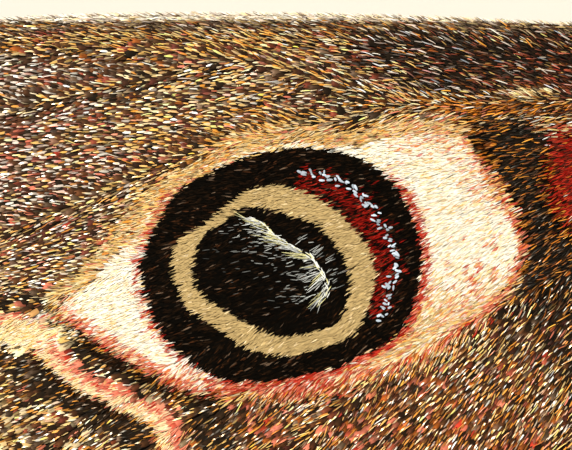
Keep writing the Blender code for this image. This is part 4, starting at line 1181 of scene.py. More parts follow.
class MOTH_OT_eyespot_marks(bpy.types.Operator):
    """The pale hairs in the middle of each forewing's eyespot, and its line of pale blue scales"""

    bl_idname = "moth.eyespot_marks"
    bl_label = "Eyespot marks"

    def execute(self, context):
        sizes = context.scene.moth_wings
        hair = tinted_finish("eyespot_hairs", 0.8, 0.9, 1.0, 0.5, 0.4)
        frost = tinted_finish("eyespot_frost", 0.7, 0.7, 1.0, 0.5, 0.3)
        for side, mirror in SIDES:
            self.hairs(f"forewing_{side}_eyespot_hairs", sizes, hair, mirror)
            self.frost(f"forewing_{side}_eyespot_frost", sizes, frost, mirror)
        return {"FINISHED"}

    def blades(self, name, blade, spot, angle, length, width, rise, lift, colours, sizes, finish, mirror):
        """Blades at places given from the spot's middle, their angle turned from outwards to back."""
        places = np.stack([SPOT[0] - spot[:, 0], SPOT[1] + spot[:, 1]], 1)
        lie = np.stack([np.cos(angle), np.sin(angle)], 1)
        along, up = wing_frames(FOREWING, places, lie)
        relief = wing_relief(FOREWING, places, sizes) + lift
        grown = {
            "root": wing_point(FOREWING, places, relief), "along": along, "up": up, "length": length,
            "width": width, "rise": rise, "droop": rise * 0.6, "cup": 0.1, "colour": colours,
        }
        add_coat(name, blade, grown, view_map(places), finish, mirror)

    def hairs(self, name, sizes, finish, mirror):
        """A thin line of hairs along the crescent, hairs that lean out of it to the tip, a few to the body
        and front, and loose white ones that fade with their distance, partly painted glints on the black
        middle."""
        chance = np.random.default_rng(21)
        line = curve_points(CRESCENT, 0.01)
        ahead = unit(np.gradient(line, axis=0))
        counts = (90, 170, 34, 190)
        kind = np.repeat(np.arange(4), counts)
        total = len(kind)
        share = chance.random(total)
        share = np.where(kind == 2, 0.35 + 0.6 * share, share)
        pick = (share * (len(line) - 1)).astype(int)
        along = np.arctan2(ahead[pick, 1], -ahead[pick, 0]) + math.pi
        lean = -0.25 + 1.2 * soft(share, 0.4, 1.0)
        angle = np.choose(kind, (along, lean, -2.65 + 0 * share, 0.12 + 0.3 * (share - 0.5)))
        angle = angle + chance.normal(0, 0.17, total)
        far = np.choose(kind, (0 * share, 0.08 * chance.random(total), 0.03 + 0.22 * chance.random(total),
                               np.minimum(0.08 + chance.exponential(0.4, total), 1.4)))
        way = np.where(kind == 2, -2.65, 0.12 + 0.35 * (share - 0.3))
        spot = line[pick] + far[:, None] * np.stack([-np.cos(way), np.sin(way)], 1)
        spot += chance.normal(0, 1, (total, 2)) * np.array([0.012, 0.02, 0.02, 0.07])[kind][:, None]
        low = np.array([0.08, 0.07, 0.08, 0.04])[kind]
        high = np.array([0.12, 0.36, 0.22, 0.16])[kind]
        length = low + (high - low) * chance.random(total) ** 1.6
        width = np.array([0.016, 0.012, 0.01, 0.011])[kind] * chance.uniform(0.7, 1.2, total)
        # The loose hairs are white partly as painted glints, dimmer further from the crescent
        bright = np.array([1.0, 1.2, 0.7, 1.2])[kind] * np.exp(-far / 0.55)
        bright = bright * chance.uniform(0.35, 1.0, total)
        bright[kind == 0] = 1.0
        yellow = (chance.random((total, 1)) < 0.3) & (kind < 2)[:, None]
        colours = np.where(yellow, linear((244, 236, 170)), linear((250, 252, 246))) * bright[:, None]
        keep = depth_inside(spot, TAN_INNER) > 0.1
        rise = np.full(keep.sum(), 0.35)
        self.blades(name, HAIR, spot[keep], angle[keep], length[keep], width[keep], rise, 0.045,
                    colours[keep], sizes, finish, mirror)

    def frost(self, name, sizes, finish, mirror):
        """Two loose rows of short oval scales."""
        chance = np.random.default_rng(22)
        line = curve_points(FROST_LINE, 0.01)
        total = 92
        walked = np.linspace(0, len(line) - 2, total).astype(int)
        ahead = unit(line[walked + 1] - line[walked])
        aside = np.stack([-ahead[:, 1], ahead[:, 0]], 1)
        row = chance.uniform(-0.07, 0.07, total) * (0.4 + 0.6 * soft(walked / len(line), 0.05, 0.3))
        spot = line[walked] + aside * row[:, None] + chance.normal(0, 0.025, (total, 2))
        spot[:, 0] += 0.05
        angle = chance.normal(-0.1, 0.5, total) - 0.35 * soft(-spot[:, 1], 0.2, 1.6)
        length = chance.uniform(0.055, 0.105, total)
        width = chance.uniform(0.03, 0.048, total)
        colours = linear((222, 236, 252)) * chance.uniform(0.45, 1.05, (total, 1))
        self.blades(name, BROAD, spot, angle, length, width, np.full(total, 0.3), 0.06, colours, sizes,
                    finish, mirror)


class MOTH_OT_wing_scales(bpy.types.Operator):
    """The scales of all wings, above and below, apart from those round the left eyespot"""

    bl_idname = "moth.wing_scales"
    bl_label = "Wing scales"

    def execute(self, context):
        sizes = context.scene.moth_wings
        broad = tinted_finish("coarse_scales", 0.5, 0.7, 1.0, 0.55, 0.45)
        hair = tinted_finish("coarse_hairs", 0.6, 0.9, 1.0, 0.55, 0.4)
        for seed, (wing, side, upper) in enumerate((
            (FOREWING, "left", True), (FOREWING, "right", True), (FOREWING, "left", False),
            (FOREWING, "right", False), (HINDWING, "left", True), (HINDWING, "right", True),
            (HINDWING, "left", False), (HINDWING, "right", False),
        )):
            face = "upper" if upper else "under"
            name = f"{wing['node']}_{side}_{face}"
            grain = 1.0 if upper else UNDERSIDE_GRAIN
            self.layer(f"{name}_scales", BROAD, broad, sizes, wing, side, upper, 40 + seed,
                       *COARSE_SCALES * grain, 0.2, 0)
            self.layer(f"{name}_hairs", TUFT, hair, sizes, wing, side, upper, 60 + seed,
                       *COARSE_HAIRS * grain, 0.3, 1)
        return {"FINISHED"}

    def layer(self, name, blade, finish, sizes, wing, side, upper, seed, pitch, size, rise, kind):
        chance = np.random.default_rng(seed)
        chart = wing["chart"]
        places = lattice(chart.low, chart.high, pitch, 0.4, 0.5 if kind == 1 else 0.2, chance)
        depth = chart.read(places)[:, 0]
        places = places[depth > 0.04 + 0.5 * size[0] * (places[:, 1] < 0.5)]
        places = places[places[:, 0] > -0.2]
        if wing is FOREWING and side == "left" and upper:
            places = places[~window_share(places, chance)]
        calm = 0.2 if wing is FOREWING and upper and kind == 1 else 0.55
        grown = grow_on_wing(wing, places, chance, sizes, kind, size, rise, 0.4, 0.12, 0.2, upper, calm)
        if wing is FOREWING and upper and kind == 0:
            grown["colour"] = 0.72 * grown["colour"] + 0.28 * wing["upper"](places, chance, 1).mean()
        add_coat(name, blade, grown, wing_map(wing, places), finish, mirror=side == "right")


class MOTH_OT_wing_fringes(bpy.types.Operator):
    """The fringes of the wings: short at the front margin, longer at the outer and hind margins"""

    bl_idname = "moth.wing_fringes"
    bl_label = "Wing fringes"

    def execute(self, context):
        sizes = context.scene.moth_wings
        finish = tinted_finish("fringe_hairs", 0.7, 0.9, 1.0, 0.5, 0.35)
        for wing in (FOREWING, HINDWING):
            for side, mirror in SIDES:
                self.fringe(wing, side, mirror, sizes, finish)
        return {"FINISHED"}

    def fringe(self, wing, side, mirror, sizes, finish):
        """Hairs along the margin. They lie outwards from it, leaning to the tip."""
        chance = np.random.default_rng(81)
        loop = curve_points(wing["outline"], 0.012, closed=True)
        ahead = unit(np.roll(loop, -1, axis=0) - loop)
        outward = np.stack([ahead[:, 1], -ahead[:, 0]], 1)
        pick = chance.integers(0, len(loop), FRINGE_COUNT)
        front = soft(-outward[pick, 1], 0.55, 0.9)
        keep = (chance.random(FRINGE_COUNT) < 0.35 + 0.4 * front) & (loop[pick, 0] > 0.3)
        pick, front = pick[keep], front[keep]
        count = len(pick)
        inset = 0.05 + 0.12 * chance.random(count) * (1 - front)
        places = loop[pick] - outward[pick] * inset[:, None]
        tipward = ahead[pick] * np.sign(ahead[pick][:, :1])
        lean = np.where(front > 0.5, 2.4, 0.35)[:, None]
        lie = unit(outward[pick] + tipward * lean + chance.normal(0, 0.12, (count, 2)))
        base = soft(-places[:, 0], -5.0, -2.0)
        length = sizes.fringe_length / MM * (1 - 0.7 * front) * (1 + base * (1 - front))
        length = length * chance.uniform(0.7, 1.15, count)
        along, up = wing_frames(wing, places, lie)
        browns = {"tan": 2.5, "grey": 3, "brown": 3, "silver": 1.5, "cream": 0.8, "rust": 0.6}
        marks = Markings(count, browns)
        marks.paint(front, {"white": 5, "silver": 3, "cream": 2, "grey": 1.5})
        grown = {
            "root": wing_point(wing, places, chance.normal(0.03, 0.03, count)), "along": along, "up": up,
            "length": length, "width": 0.034 * (1 - 0.5 * front) * chance.uniform(0.8, 1.2, count),
            "rise": chance.normal(0.0, 0.12, count) + 0.1 * front, "droop": np.full(count, 0.1), "cup": 0.0,
            "colour": marks.draw(chance, 0.25),
        }
        name = f"{wing['node']}_{side}_fringe"
        add_coat(name, TUFT, grown, wing_map(wing, places), finish, mirror)


def body_tones(y, turn, chance):
    """The colours of the body: pale collar, grey-brown thorax, abdomen ringed with pale fur."""
    count = len(y)
    y = y + chance.normal(0, 0.06, count)
    low = soft(-np.sin(turn), 0.2, 0.8)
    marks = Markings(count, {"brown": 4, "grey": 3, "dark": 1.5, "tan": 1.5, "umber": 1})
    marks.paint(soft(-y, 2.1, 2.5) * soft(y, -3.6, -3.1), {"silver": 4, "cream": 3, "grey": 1, "tan": 1})
    marks.paint(soft(-y, 1.6, 2.0) * soft(y, -2.4, -2.0) * 0.7, {"umber": 3, "dark": 2, "brown": 1})
    marks.paint(soft(-y, 3.4, 3.8), {"brown": 4, "umber": 1.5, "dark": 1.5, "tan": 1.5, "grey": 2})
    marks.paint(soft(y, 3.0, 3.5), {"rust": 3, "brown": 3, "ochre": 2, "tan": 1.5, "grey": 1})
    ring = np.mod((y - 3.5) / 1.12, 1)
    marks.paint(soft(y, 3.9, 4.2) * soft(ring, 0.62, 0.75) * soft(-ring, -0.99, -0.9) * 0.85,
                {"cream": 3, "silver": 2, "tan": 2})
    marks.paint(low * 0.6, {"grey": 3, "silver": 2, "brown": 1, "tan": 1})
    return marks


class MOTH_OT_body_skin(bpy.types.Operator):
    """One skin for the head, thorax and abdomen"""

    bl_idname = "moth.body_skin"
    bl_label = "Body skin"

    def execute(self, context):
        table = curve_points(BODY, 0.12)
        rows, columns = len(table), 64
        turn = np.tile(TAU * np.arange(columns) / columns, rows)
        y = np.repeat(table[:, 0], columns)
        points = body_point(y, turn)
        faces = grid_faces(rows, columns, wrap=True)[:, ::-1]
        piece = new_piece("body_skin", points, faces, skin_finish("body_skin"))
        chance = np.random.default_rng(SEED)
        add_tint(piece, body_tones(y, turn, chance).mean() * 0.5)
        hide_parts("head", "thorax", "abdomen")
        return {"FINISHED"}


class MOTH_OT_body_fur(bpy.types.Operator):
    """The fur of the head, thorax and abdomen, in tufts that lie backwards and lift a little"""

    bl_idname = "moth.body_fur"
    bl_label = "Body fur"

    def execute(self, context):
        sizes = context.scene.moth_fur
        finish = tinted_finish("body_fur", 0.4, 0.9, 1.1, 0.8, 0.65, 0.12)
        width = sizes.tuft_width / MM
        self.region("thorax_fur", sizes.thorax_length / MM, width, (-3.5, 3.4), 0.069, 0.42, "body_fur",
                    finish, 101)
        self.region("abdomen_fur", sizes.abdomen_length / MM, width, (3.3, 12.1), 0.072, 0.3, "abdomen_fur",
                    finish, 102)
        self.head("head_fur", sizes.head_length / MM, width * 0.8, finish)
        for side, mirror in SIDES:
            self.rim(f"eye_{side}_rim", sizes.head_length / MM, width * 0.8, finish, mirror)
        return {"FINISHED"}

    def roots(self, reach, pitch, chance):
        """Roots on rings a pitch apart, each ring holding as many as fit round it."""
        y = np.arange(reach[0], reach[1], pitch)
        table = curve_points(BODY, 0.15)
        around = math.pi * (np.interp(y, table[:, 0], table[:, 2]) + np.interp(y, table[:, 0], table[:, 3]))
        fit = np.maximum(3, (around / pitch).astype(int))
        first = np.repeat(np.cumsum(fit) - fit, fit)
        start = np.repeat(chance.random(len(y)), fit)
        turn = TAU * (np.arange(fit.sum()) - first + start) / np.repeat(fit, fit)
        spread = np.repeat(y, fit)
        count = len(spread)
        return spread + chance.uniform(-0.5, 0.5, count) * pitch, turn + chance.normal(0, 0.03, count)

    def region(self, name, length, width, reach, pitch, rise, slot_name, finish, seed):
        chance = np.random.default_rng(seed)
        y, turn = self.roots(reach, pitch, chance)
        count = len(y)
        back, up = body_frames(y, turn)
        aside = np.cross(back, up)
        flat = np.stack([y, turn * 2.0], 1)
        sway = (cloud(flat, 0.55, seed) - 0.5) * 0.9 + chance.normal(0, 0.12, count)
        along = unit(back + aside * sway[:, None])
        lock = 0.75 + 0.5 * cloud(flat, 0.7, seed + 1)
        tail = 1 - 0.45 * soft(y, 9.5, 11.8)
        length = length * lock * tail * chance.uniform(0.75, 1.15, count)
        grown = {
            "root": body_point(y, turn), "along": along, "up": up, "length": length,
            "width": width * chance.uniform(0.7, 1.3, count),
            "rise": rise * (0.6 + 0.8 * cloud(flat, 0.5, seed + 2)), "droop": np.full(count, rise * 0.35),
            "cup": 0.0, "colour": body_tones(y + length * 0.6, turn, chance).draw(chance, 0.22, 0.4),
        }
        add_coat(name, TUFT, grown, np.stack([(y + 6) / 20, np.mod(turn / TAU, 1)], 1), finish)

    def head(self, name, length, width, finish):
        """On the head the fur runs forwards and down over the face, and up between the feelers."""
        chance = np.random.default_rng(103)
        y, turn = self.roots((-5.48, -3.4), 0.045, chance)
        point = body_point(y, turn)
        keep = np.hypot(point[:, 1] - EYE_Y, point[:, 2] - EYE_Z) > 0.55
        y, turn = y[keep], turn[keep]
        count = len(y)
        back, up = body_frames(y, turn)
        top = np.sin(turn)
        crown = soft(y, -4.9, -4.2)
        forward = -back * (0.9 - 0.5 * crown)[:, None] + np.array([0, 0, 1.0]) * (0.6 * crown * top)[:, None]
        down = np.array([0, 0, -1.0]) * ((1 - crown) * 0.5)[:, None]
        along = forward + down + chance.normal(0, 0.14, (count, 3))
        along = unit(along - up * (along * up).sum(1, keepdims=True))
        length = length * (0.45 + 0.55 * crown) * chance.uniform(0.7, 1.2, count)
        grown = {
            "root": body_point(y, turn), "along": along, "up": up, "length": length,
            "width": width * (0.6 + 0.4 * crown) * chance.uniform(0.7, 1.3, count),
            "rise": 0.35 + 0.45 * crown * chance.random(count), "droop": np.full(count, 0.15), "cup": 0.0,
            "colour": body_tones(y, turn, chance).draw(chance, 0.22, 0.4),
        }
        add_coat(name, TUFT, grown, np.stack([(y + 6) / 4, np.mod(turn / TAU, 1)], 1), finish)

    def rim(self, name, length, width, finish, mirror):
        """Short fur round an eye. Its roots ring the ball where it leaves the head, and it lies outwards
        over the ball's side, longest behind and above."""
        chance = np.random.default_rng(104)
        count = 1500
        turn = chance.uniform(0, TAU, count)
        ring = np.stack([np.zeros(count), np.cos(turn), np.sin(turn)], 1)
        depth = chance.uniform(0.0, 1.0, count)
        reach = 0.62 + 0.1 * depth + chance.normal(0, 0.02, count)
        middle = np.stack([0.84 - 0.42 * depth, np.full(count, EYE_Y), np.full(count, EYE_Z)], 1)
        swirl = np.stack([np.zeros(count), -np.sin(turn), np.cos(turn)], 1)
        along = np.array([1.0, 0.0, 0.0]) + ring * 0.3 + swirl * chance.normal(0.0, 0.3, (count, 1))
        behind = soft(np.cos(turn) + 0.5 * np.sin(turn), -0.6, 1.0)
        y = EYE_Y + reach * np.cos(turn)
        grown = {
            "root": ring * reach[:, None] + middle, "along": unit(along), "up": ring,
            "length": length * (0.5 + 0.4 * behind) * chance.uniform(0.6, 1.15, count),
            "width": width * chance.uniform(0.7, 1.2, count), "rise": chance.uniform(0.0, 0.35, count),
            "droop": np.full(count, 0.2), "cup": 0.0,
            "colour": body_tones(y, turn, chance).draw(chance, 0.3, 0.3),
        }
        spot = np.stack([0.1 * np.cos(turn), 0.1 * np.sin(turn)], 1) + 0.5
        add_coat(name, TUFT, grown, spot, finish, mirror)


class MOTH_OT_eyes(bpy.types.Operator):
    """The round compound eyes, dark and glossy"""

    bl_idname = "moth.eyes"
    bl_label = "Eyes"

    def execute(self, context):
        finish = self.finish()
        rows, columns = 40, 64
        rise = np.repeat(np.linspace(-math.pi / 2, math.pi / 2, rows), columns)
        turn = np.tile(TAU * np.arange(columns) / columns, rows)
        outward = np.sin(rise)
        points = np.stack([
            0.98 + 0.64 * outward,
            EYE_Y + 0.67 * np.cos(rise) * np.cos(turn),
            EYE_Z + 0.67 * np.cos(rise) * np.sin(turn),
        ], 1)
        faces = grid_faces(rows, columns, wrap=True)
        for side, mirror in SIDES:
            piece = new_piece(f"eye_{side}_ball", points, faces, finish, mirror)
            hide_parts(f"eye_{side}")
        return {"FINISHED"}

    def finish(self):
        """Dark brown under a thin clear coat, with the facets as small bumps."""
        made, tree, shader = new_finish("eye")
        shader.inputs["Base Color"].default_value = (0.014, 0.008, 0.006, 1)
        shader.inputs["Roughness"].default_value = 0.4
        shader.inputs["Specular IOR Level"].default_value = 0.3
        shader.inputs["Coat Weight"].default_value = 0.15
        shader.inputs["Coat Roughness"].default_value = 0.1
        place = add_node(tree, "ShaderNodeTexCoord")
        facets = add_node(tree, "ShaderNodeTexVoronoi", feature="F1")
        facets.inputs["Scale"].default_value = 24000
        facets.inputs["Randomness"].default_value = 0.6
        bump = add_node(tree, "ShaderNodeBump", invert=True)
        bump.inputs["Strength"].default_value = 0.5
        bump.inputs["Distance"].default_value = 0.00001
        tree.links.new(place.outputs["Object"], facets.inputs["Vector"])
        tree.links.new(facets.outputs["Distance"], bump.inputs["Height"])
        tree.links.new(bump.outputs["Normal"], shader.inputs["Normal"])
        return made


def tube_points(centres, radii, sides, reference):
    """Rings of points round one or more lines: centres has the shape (lines, stations, 3)."""
    ahead = unit(np.gradient(centres, axis=1))
    u = unit(np.cross(ahead, reference))
    v = np.cross(ahead, u)
    turn = TAU * np.arange(sides) / sides
    ring = u[:, :, None] * np.cos(turn)[:, None] + v[:, :, None] * np.sin(turn)[:, None]
    return centres[:, :, None] + ring * radii[..., None, None]


def add_tubes(name, centres, radii, sides, reference, finish, mirror=False):
    """Tubes with closed ends as one mesh."""
    lines, stations = centres.shape[:2]
    points = tube_points(centres, radii, sides, reference).reshape(-1, 3)
    quads = grid_faces(stations, sides, wrap=True)
    faces = (np.arange(lines)[:, None, None] * stations * sides + quads[None]).reshape(-1, 4)
    return new_piece(name, points, faces, finish, mirror)


FEELER = [
    (0.42, -4.52, 5.15), (0.50, -4.62, 5.60), (0.72, -4.95, 6.10), (1.50, -6.20, 6.50), (2.65, -7.80, 6.65),
    (4.00, -9.25, 6.50), (5.40, -10.45, 6.10),
]
LEGS = {
    "foreleg": [
        (0.92, -2.12, 3.45), (0.92, -2.12, 2.85), (2.30, -4.32, 3.04), (3.04, -6.07, 0.69),
        (3.40, -7.75, 0.16),
    ],
    "midleg": [
        (1.20, -0.37, 3.45), (1.20, -0.37, 2.80), (3.77, -0.74, 3.22), (5.24, -1.10, 0.69),
        (7.02, -1.55, 0.16),
    ],
    "hindleg": [
        (1.10, 1.47, 3.45), (1.10, 1.47, 2.85), (3.31, 2.94, 3.04), (4.60, 4.78, 0.69), (5.58, 6.38, 0.16),
    ],
}


class MOTH_OT_feelers(bpy.types.Operator):
    """The feathered feelers: a shaft with two pairs of rays at each of its segments, and fine hairs"""

    bl_idname = "moth.feelers"
    bl_label = "Feelers"

    def execute(self, context):
        finish = skin_finish("feeler", 0.5)
        hair = tinted_finish("feeler_hairs", 0.8, 0.9, 1.0, 0.6, 0.5)
        for side, mirror in SIDES:
            self.feeler(side, mirror, finish, hair)
        return {"FINISHED"}

    def feeler(self, side, mirror, finish, hair):
        path = curve_points(FEELER, 0.05)
        walked = walked_along(path)
        total = walked[-1]
        beads = 1 + 0.05 * np.cos(TAU * walked / 0.29)
        radii = (0.16 - 0.09 * walked / total) * beads
        radii[0] = radii[-1] = 1e-4
        reference = np.array([0.1, 0.2, 1.0])
        shaft = add_tubes(f"antenna_{side}_shaft", path[None], radii[None], 10, np.array([1.0, 0.6, 0.0]),
                          finish, mirror)
        add_tint(shaft, np.tile(linear((138, 96, 54)), (len(shaft.data.vertices), 1)))
        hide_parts(f"antenna_{side}")

        distance = np.arange(1.25, total - 0.12, 0.145)
        middle, ahead = along_path(path, walked, distance)
        across = unit(np.cross(ahead, np.array([0, 0, 1.0])))
        up = np.cross(across, ahead)
        share = (distance - distance[0]) / (distance[-1] - distance[0])
        length = 2.45 * (0.12 + 0.88 * np.sin(math.pi * (0.1 + 0.88 * share)) ** 0.7)
        pair = np.arange(len(distance)) % 2
        lean = 0.42 + 0.25 * pair
        rays, roots = [], []
        t = np.linspace(0, 1, 9)
        for hand in (-1, 1):
            bend = lean[:, None] + 0.38 * t
            out = across[:, None] * (hand * np.cos(bend))[..., None]
            out = out + ahead[:, None] * np.sin(bend)[..., None]
            line = middle[:, None] + out * (length[:, None] * t)[..., None]
            sag = length[:, None] * (0.17 * t ** 2 - 0.05 * pair[:, None] * t)
            line = line - up[:, None] * sag[..., None]
            rays.append(line)
            roots.append(up)
        rays = np.concatenate(rays)
        thick = np.interp(t, [0, 0.04, 0.5, 0.97, 1], [1e-4, 0.045, 0.038, 0.022, 1e-4])
        added = add_tubes(f"antenna_{side}_rays", rays, np.tile(thick, (len(rays), 1)), 5, reference, finish,
                          mirror)
        add_tint(added, np.tile(linear((158, 112, 62)), (len(added.data.vertices), 1)))
        self.hairs(side, mirror, rays, np.concatenate(roots), hair)

    def hairs(self, side, mirror, rays, up, finish):
        chance = np.random.default_rng(111)
        share = np.linspace(0.06, 0.98, 20)
        at = share * (rays.shape[1] - 1)
        low = np.floor(at).astype(int).clip(0, rays.shape[1] - 2)
        mix = (at - low)[None, :, None]
        middle = rays[:, low] * (1 - mix) + rays[:, low + 1] * mix
        ahead = unit(rays[:, low + 1] - rays[:, low])
        normal = np.broadcast_to(up[:, None], middle.shape)
        aside = unit(np.cross(ahead, normal))
        roots, along = [], []
        for hand in (-1, 1):
            roots.append(middle.reshape(-1, 3))
            along.append((aside * hand + ahead * 0.5).reshape(-1, 3))
        roots, along = np.concatenate(roots), np.concatenate(along)
        normal = np.concatenate([normal.reshape(-1, 3)] * 2)
        count = len(roots)
        along = unit(along + chance.normal(0, 0.15, (count, 3)))
        grown = {
            "root": roots, "along": along, "up": normal, "length": chance.uniform(0.12, 0.2, count),
            "width": np.full(count, 0.014), "rise": chance.normal(0.0, 0.2, count), "droop": np.zeros(count),
            "cup": 0.0, "colour": np.tile(linear((176, 136, 88)), (count, 1)),
        }
        spot = np.stack([np.mod(np.arange(count) * 0.618, 1), np.arange(count) / count], 1)
        add_coat(f"antenna_{side}_hairs", LANCE, grown, spot, finish, mirror)


class MOTH_OT_legs(bpy.types.Operator):
    """The six legs, furred, with a pair of claws on each foot"""

    bl_idname = "moth.legs"
    bl_label = "Legs"

    def execute(self, context):
        sizes = context.scene.moth_fur
        finish = skin_finish("leg_skin", 0.5)
        fur = tinted_finish("leg_fur", 0.45, 0.9, 1.1, 0.8, 0.65, 0.12)
        for seed, (name, joints) in enumerate(LEGS.items()):
            for side, mirror in SIDES:
                self.leg(name, joints, side, mirror, sizes, finish, fur, 120 + seed)
        return {"FINISHED"}

    def leg(self, name, joints, side, mirror, sizes, finish, fur, seed):
        hip, low, knee, ankle, toe = (np.array(p) for p in joints)
        heel = ankle + (toe - ankle) * 0.3
        heel[2] = toe[2]
        corners = [hip, low, low * 0.45 + knee * 0.55, knee, knee * 0.6 + ankle * 0.4, ankle, heel, toe]
        radii = [0.36, 0.38, 0.42, 0.26, 0.30, 0.17, 0.12, 0.08]
        path = curve_points(np.column_stack([corners, radii]), 0.08)
        path[0, 3] = path[-1, 3] = 1e-4
        centres, thick = path[:, :3], path[:, 3]
        centres[:, 2] = np.maximum(centres[:, 2], thick + 0.005)
        reference = unit(np.cross(toe - hip, np.array([0, 0, 1.0])))
        skin = add_tubes(f"{name}_{side}_skin", centres[None], thick[None], 12, reference, finish,
                         mirror)
        add_tint(skin, np.tile(linear((92, 58, 40)), (len(skin.data.vertices), 1)))
        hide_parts(f"{name}_{side}")
        self.claws(name, side, mirror, toe, unit(toe - heel), reference, finish)

        chance = np.random.default_rng(seed)
        walked = walked_along(centres)
        count = 3400
        distance = chance.uniform(0.1, walked[-1] - 0.05, count)
        middle, ahead = along_path(centres, walked, distance)
        radius = np.interp(distance, walked, thick)
        u = unit(np.cross(ahead, reference))
        v = np.cross(ahead, u)
        turn = chance.uniform(0, TAU, count)
        up = u * np.cos(turn)[:, None] + v * np.sin(turn)[:, None]
        share = distance / walked[-1]
        length = sizes.leg_length / MM * np.interp(share, [0, 0.35, 0.7, 0.8, 1], [1.2, 1.3, 0.9, 0.4, 0.25])
        marks = Markings(count, {"brown": 4, "umber": 2, "rust": 0.6, "grey": 2.5, "tan": 1.5})
        grown = {
            "root": middle + up * radius[:, None], "along": unit(ahead + chance.normal(0, 0.15, (count, 3))),
            "up": up, "length": length * chance.uniform(0.7, 1.2, count), "width": np.full(count, 0.027),
            "rise": np.full(count, 0.32), "droop": np.full(count, 0.2), "cup": 0.0,
            "colour": marks.draw(chance, 0.2, 0.6),
        }
        grown["rise"] = np.where(middle[:, 2] < 0.3, 0.12, grown["rise"])
        tip = grown["root"] + grown["along"] * grown["length"][:, None]
        tip = tip + up * (grown["length"] * (grown["rise"] - grown["droop"]))[:, None]
        keep = np.minimum(grown["root"][:, 2], tip[:, 2]) > 0.04
        grown = {key: value[keep] if np.ndim(value) else value for key, value in grown.items()}
        spot = np.stack([share, turn / TAU], 1)[keep]
        add_coat(f"{name}_{side}_fur", TUFT, grown, spot, fur, mirror)

    def claws(self, name, side, mirror, toe, ahead, reference, finish):
        t = np.linspace(0, 1, 8)[:, None]
        hooks = []
        for hand in (-1, 1):
            out = unit(ahead + reference * 0.5 * hand)
            hooks.append(toe + out * 0.26 * t + np.array([0, 0, 1.0]) * (0.05 * t - 0.17 * t ** 2))
        thick = np.array([1e-4, 0.032, 0.03, 0.027, 0.023, 0.017, 0.01, 1e-4])
        centres = np.array(hooks)
        centres[..., 2] = np.maximum(centres[..., 2], thick + 0.004)
        added = add_tubes(f"{name}_{side}_claws", centres, np.tile(thick, (2, 1)), 6,
                          np.array([0.3, 0.2, 1.0]), finish, mirror)
        add_tint(added, np.tile(linear((46, 26, 16)), (len(added.data.vertices), 1)))


FLOOR_REACH = 0.6
DAYLIGHT = (1.0, 0.965, 0.89)


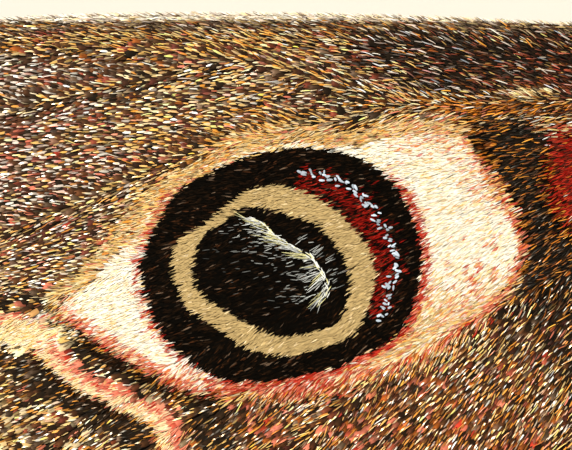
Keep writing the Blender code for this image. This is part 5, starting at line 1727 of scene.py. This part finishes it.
class MOTH_OT_stage(bpy.types.Operator):
    """The floor, the light and the camera"""

    bl_idname = "moth.stage"
    bl_label = "Stage"

    def execute(self, context):
        scene = context.scene
        scene.view_settings.view_transform = "Standard"
        mesh = bpy.data.meshes.new("floor")
        corners = [(x * FLOOR_REACH, y * FLOOR_REACH, 0) for x, y in ((-1, -1), (1, -1), (1, 1), (-1, 1))]
        mesh.from_pydata(corners, [], [(0, 1, 2, 3)])
        floor = bpy.data.objects.new("floor", mesh)
        pale, _, shader = new_finish("floor")
        shader.inputs["Base Color"].default_value = (0.78, 0.79, 0.72, 1)
        shader.inputs["Roughness"].default_value = 0.9
        mesh.materials.append(pale)
        scene.collection.objects.link(floor)
        camera_data = bpy.data.cameras.new("camera")
        camera_data.lens = 100
        camera_data.clip_start = 0.001
        camera = bpy.data.objects.new("camera", camera_data)
        scene.collection.objects.link(camera)
        scene.camera = camera
        right, top, normal = self.aim(camera)
        for name, strength, angle, travel in (
            ("key", 5.5, 6, right * 0.42 - top * 0.62 - normal * 0.66),
            ("fill", 0.4, 40, -right * 0.6 + top * 0.35 - normal * 0.7),
        ):
            light = bpy.data.lights.new(name, "SUN")
            light.energy = strength
            light.color = DAYLIGHT
            light.angle = math.radians(angle)
            lamp = bpy.data.objects.new(name, light)
            lamp.rotation_euler = Vector(travel).to_track_quat("-Z", "Y").to_euler()
            scene.collection.objects.link(lamp)
        world = bpy.data.worlds.new("studio")
        world.use_nodes = True
        sky = world.node_tree.nodes["Background"]
        sky.inputs["Color"].default_value = (1, 0.965, 0.9, 1)
        sky.inputs["Strength"].default_value = 0.14
        scene.world = world
        return {"FINISHED"}

    def aim(self, camera):
        """Square to the wing over the middle of the picture, with the wing's front edge along the top."""
        middle = np.array([[
            SPOT[0] - (VIEW_WIDTH / 2 - SPOT_PIXEL[0]) * PIXEL,
            SPOT[1] + (VIEW_HEIGHT / 2 - SPOT_PIXEL[1]) * PIXEL,
        ]])
        outwards, up = wing_frames(FOREWING, middle, np.array([[1.0, 0.0]]))
        target = (wing_point(FOREWING, middle, 0.2)[0] + SHIFT) * MM
        right, normal = -outwards[0], up[0]
        top = np.cross(normal, right)
        distance = VIEW_WIDTH * PIXEL * MM * camera.data.lens / camera.data.sensor_width
        turned = np.eye(4)
        turned[:3] = np.column_stack([right, top, normal, target + normal * distance])
        camera.matrix_world = Matrix(turned.tolist())
        return right, top, normal


class MOTH_PT_parts(bpy.types.Panel):
    """Lists the moth's parts in the sidebar"""

    bl_idname = "MOTH_PT_parts"
    bl_label = "Moth"
    bl_space_type = "VIEW_3D"
    bl_region_type = "UI"
    bl_category = "Moth"

    def draw(self, context):
        for group in (context.scene.moth_wings, context.scene.moth_fur):
            for name in group.bl_rna.properties.keys():
                if name not in ("rna_type", "name"):
                    self.layout.prop(group, name)
        for operator in STEPS:
            self.layout.operator(operator.bl_idname)


STEPS = (
    MOTH_OT_wing_skins, MOTH_OT_eyespot_scales, MOTH_OT_eyespot_marks, MOTH_OT_wing_scales,
    MOTH_OT_wing_fringes, MOTH_OT_body_skin, MOTH_OT_body_fur, MOTH_OT_eyes, MOTH_OT_feelers, MOTH_OT_legs,
    MOTH_OT_stage,
)
CLASSES = (WingSizes, FurSizes) + STEPS + (MOTH_PT_parts,)


def register():
    for item in CLASSES:
        bpy.utils.register_class(item)
    bpy.types.Scene.moth_wings = bpy.props.PointerProperty(type=WingSizes)
    bpy.types.Scene.moth_fur = bpy.props.PointerProperty(type=FurSizes)


def unregister():
    del bpy.types.Scene.moth_fur
    del bpy.types.Scene.moth_wings
    for item in reversed(CLASSES):
        bpy.utils.unregister_class(item)


def main():
    register()
    bpy.ops.moth.wing_skins()
    bpy.ops.moth.eyespot_scales()
    bpy.ops.moth.eyespot_marks()
    bpy.ops.moth.wing_scales()
    bpy.ops.moth.wing_fringes()
    bpy.ops.moth.body_skin()
    bpy.ops.moth.body_fur()
    bpy.ops.moth.eyes()
    bpy.ops.moth.feelers()
    bpy.ops.moth.legs()
    bpy.ops.moth.stage()


if __name__ == "__main__":
    main()
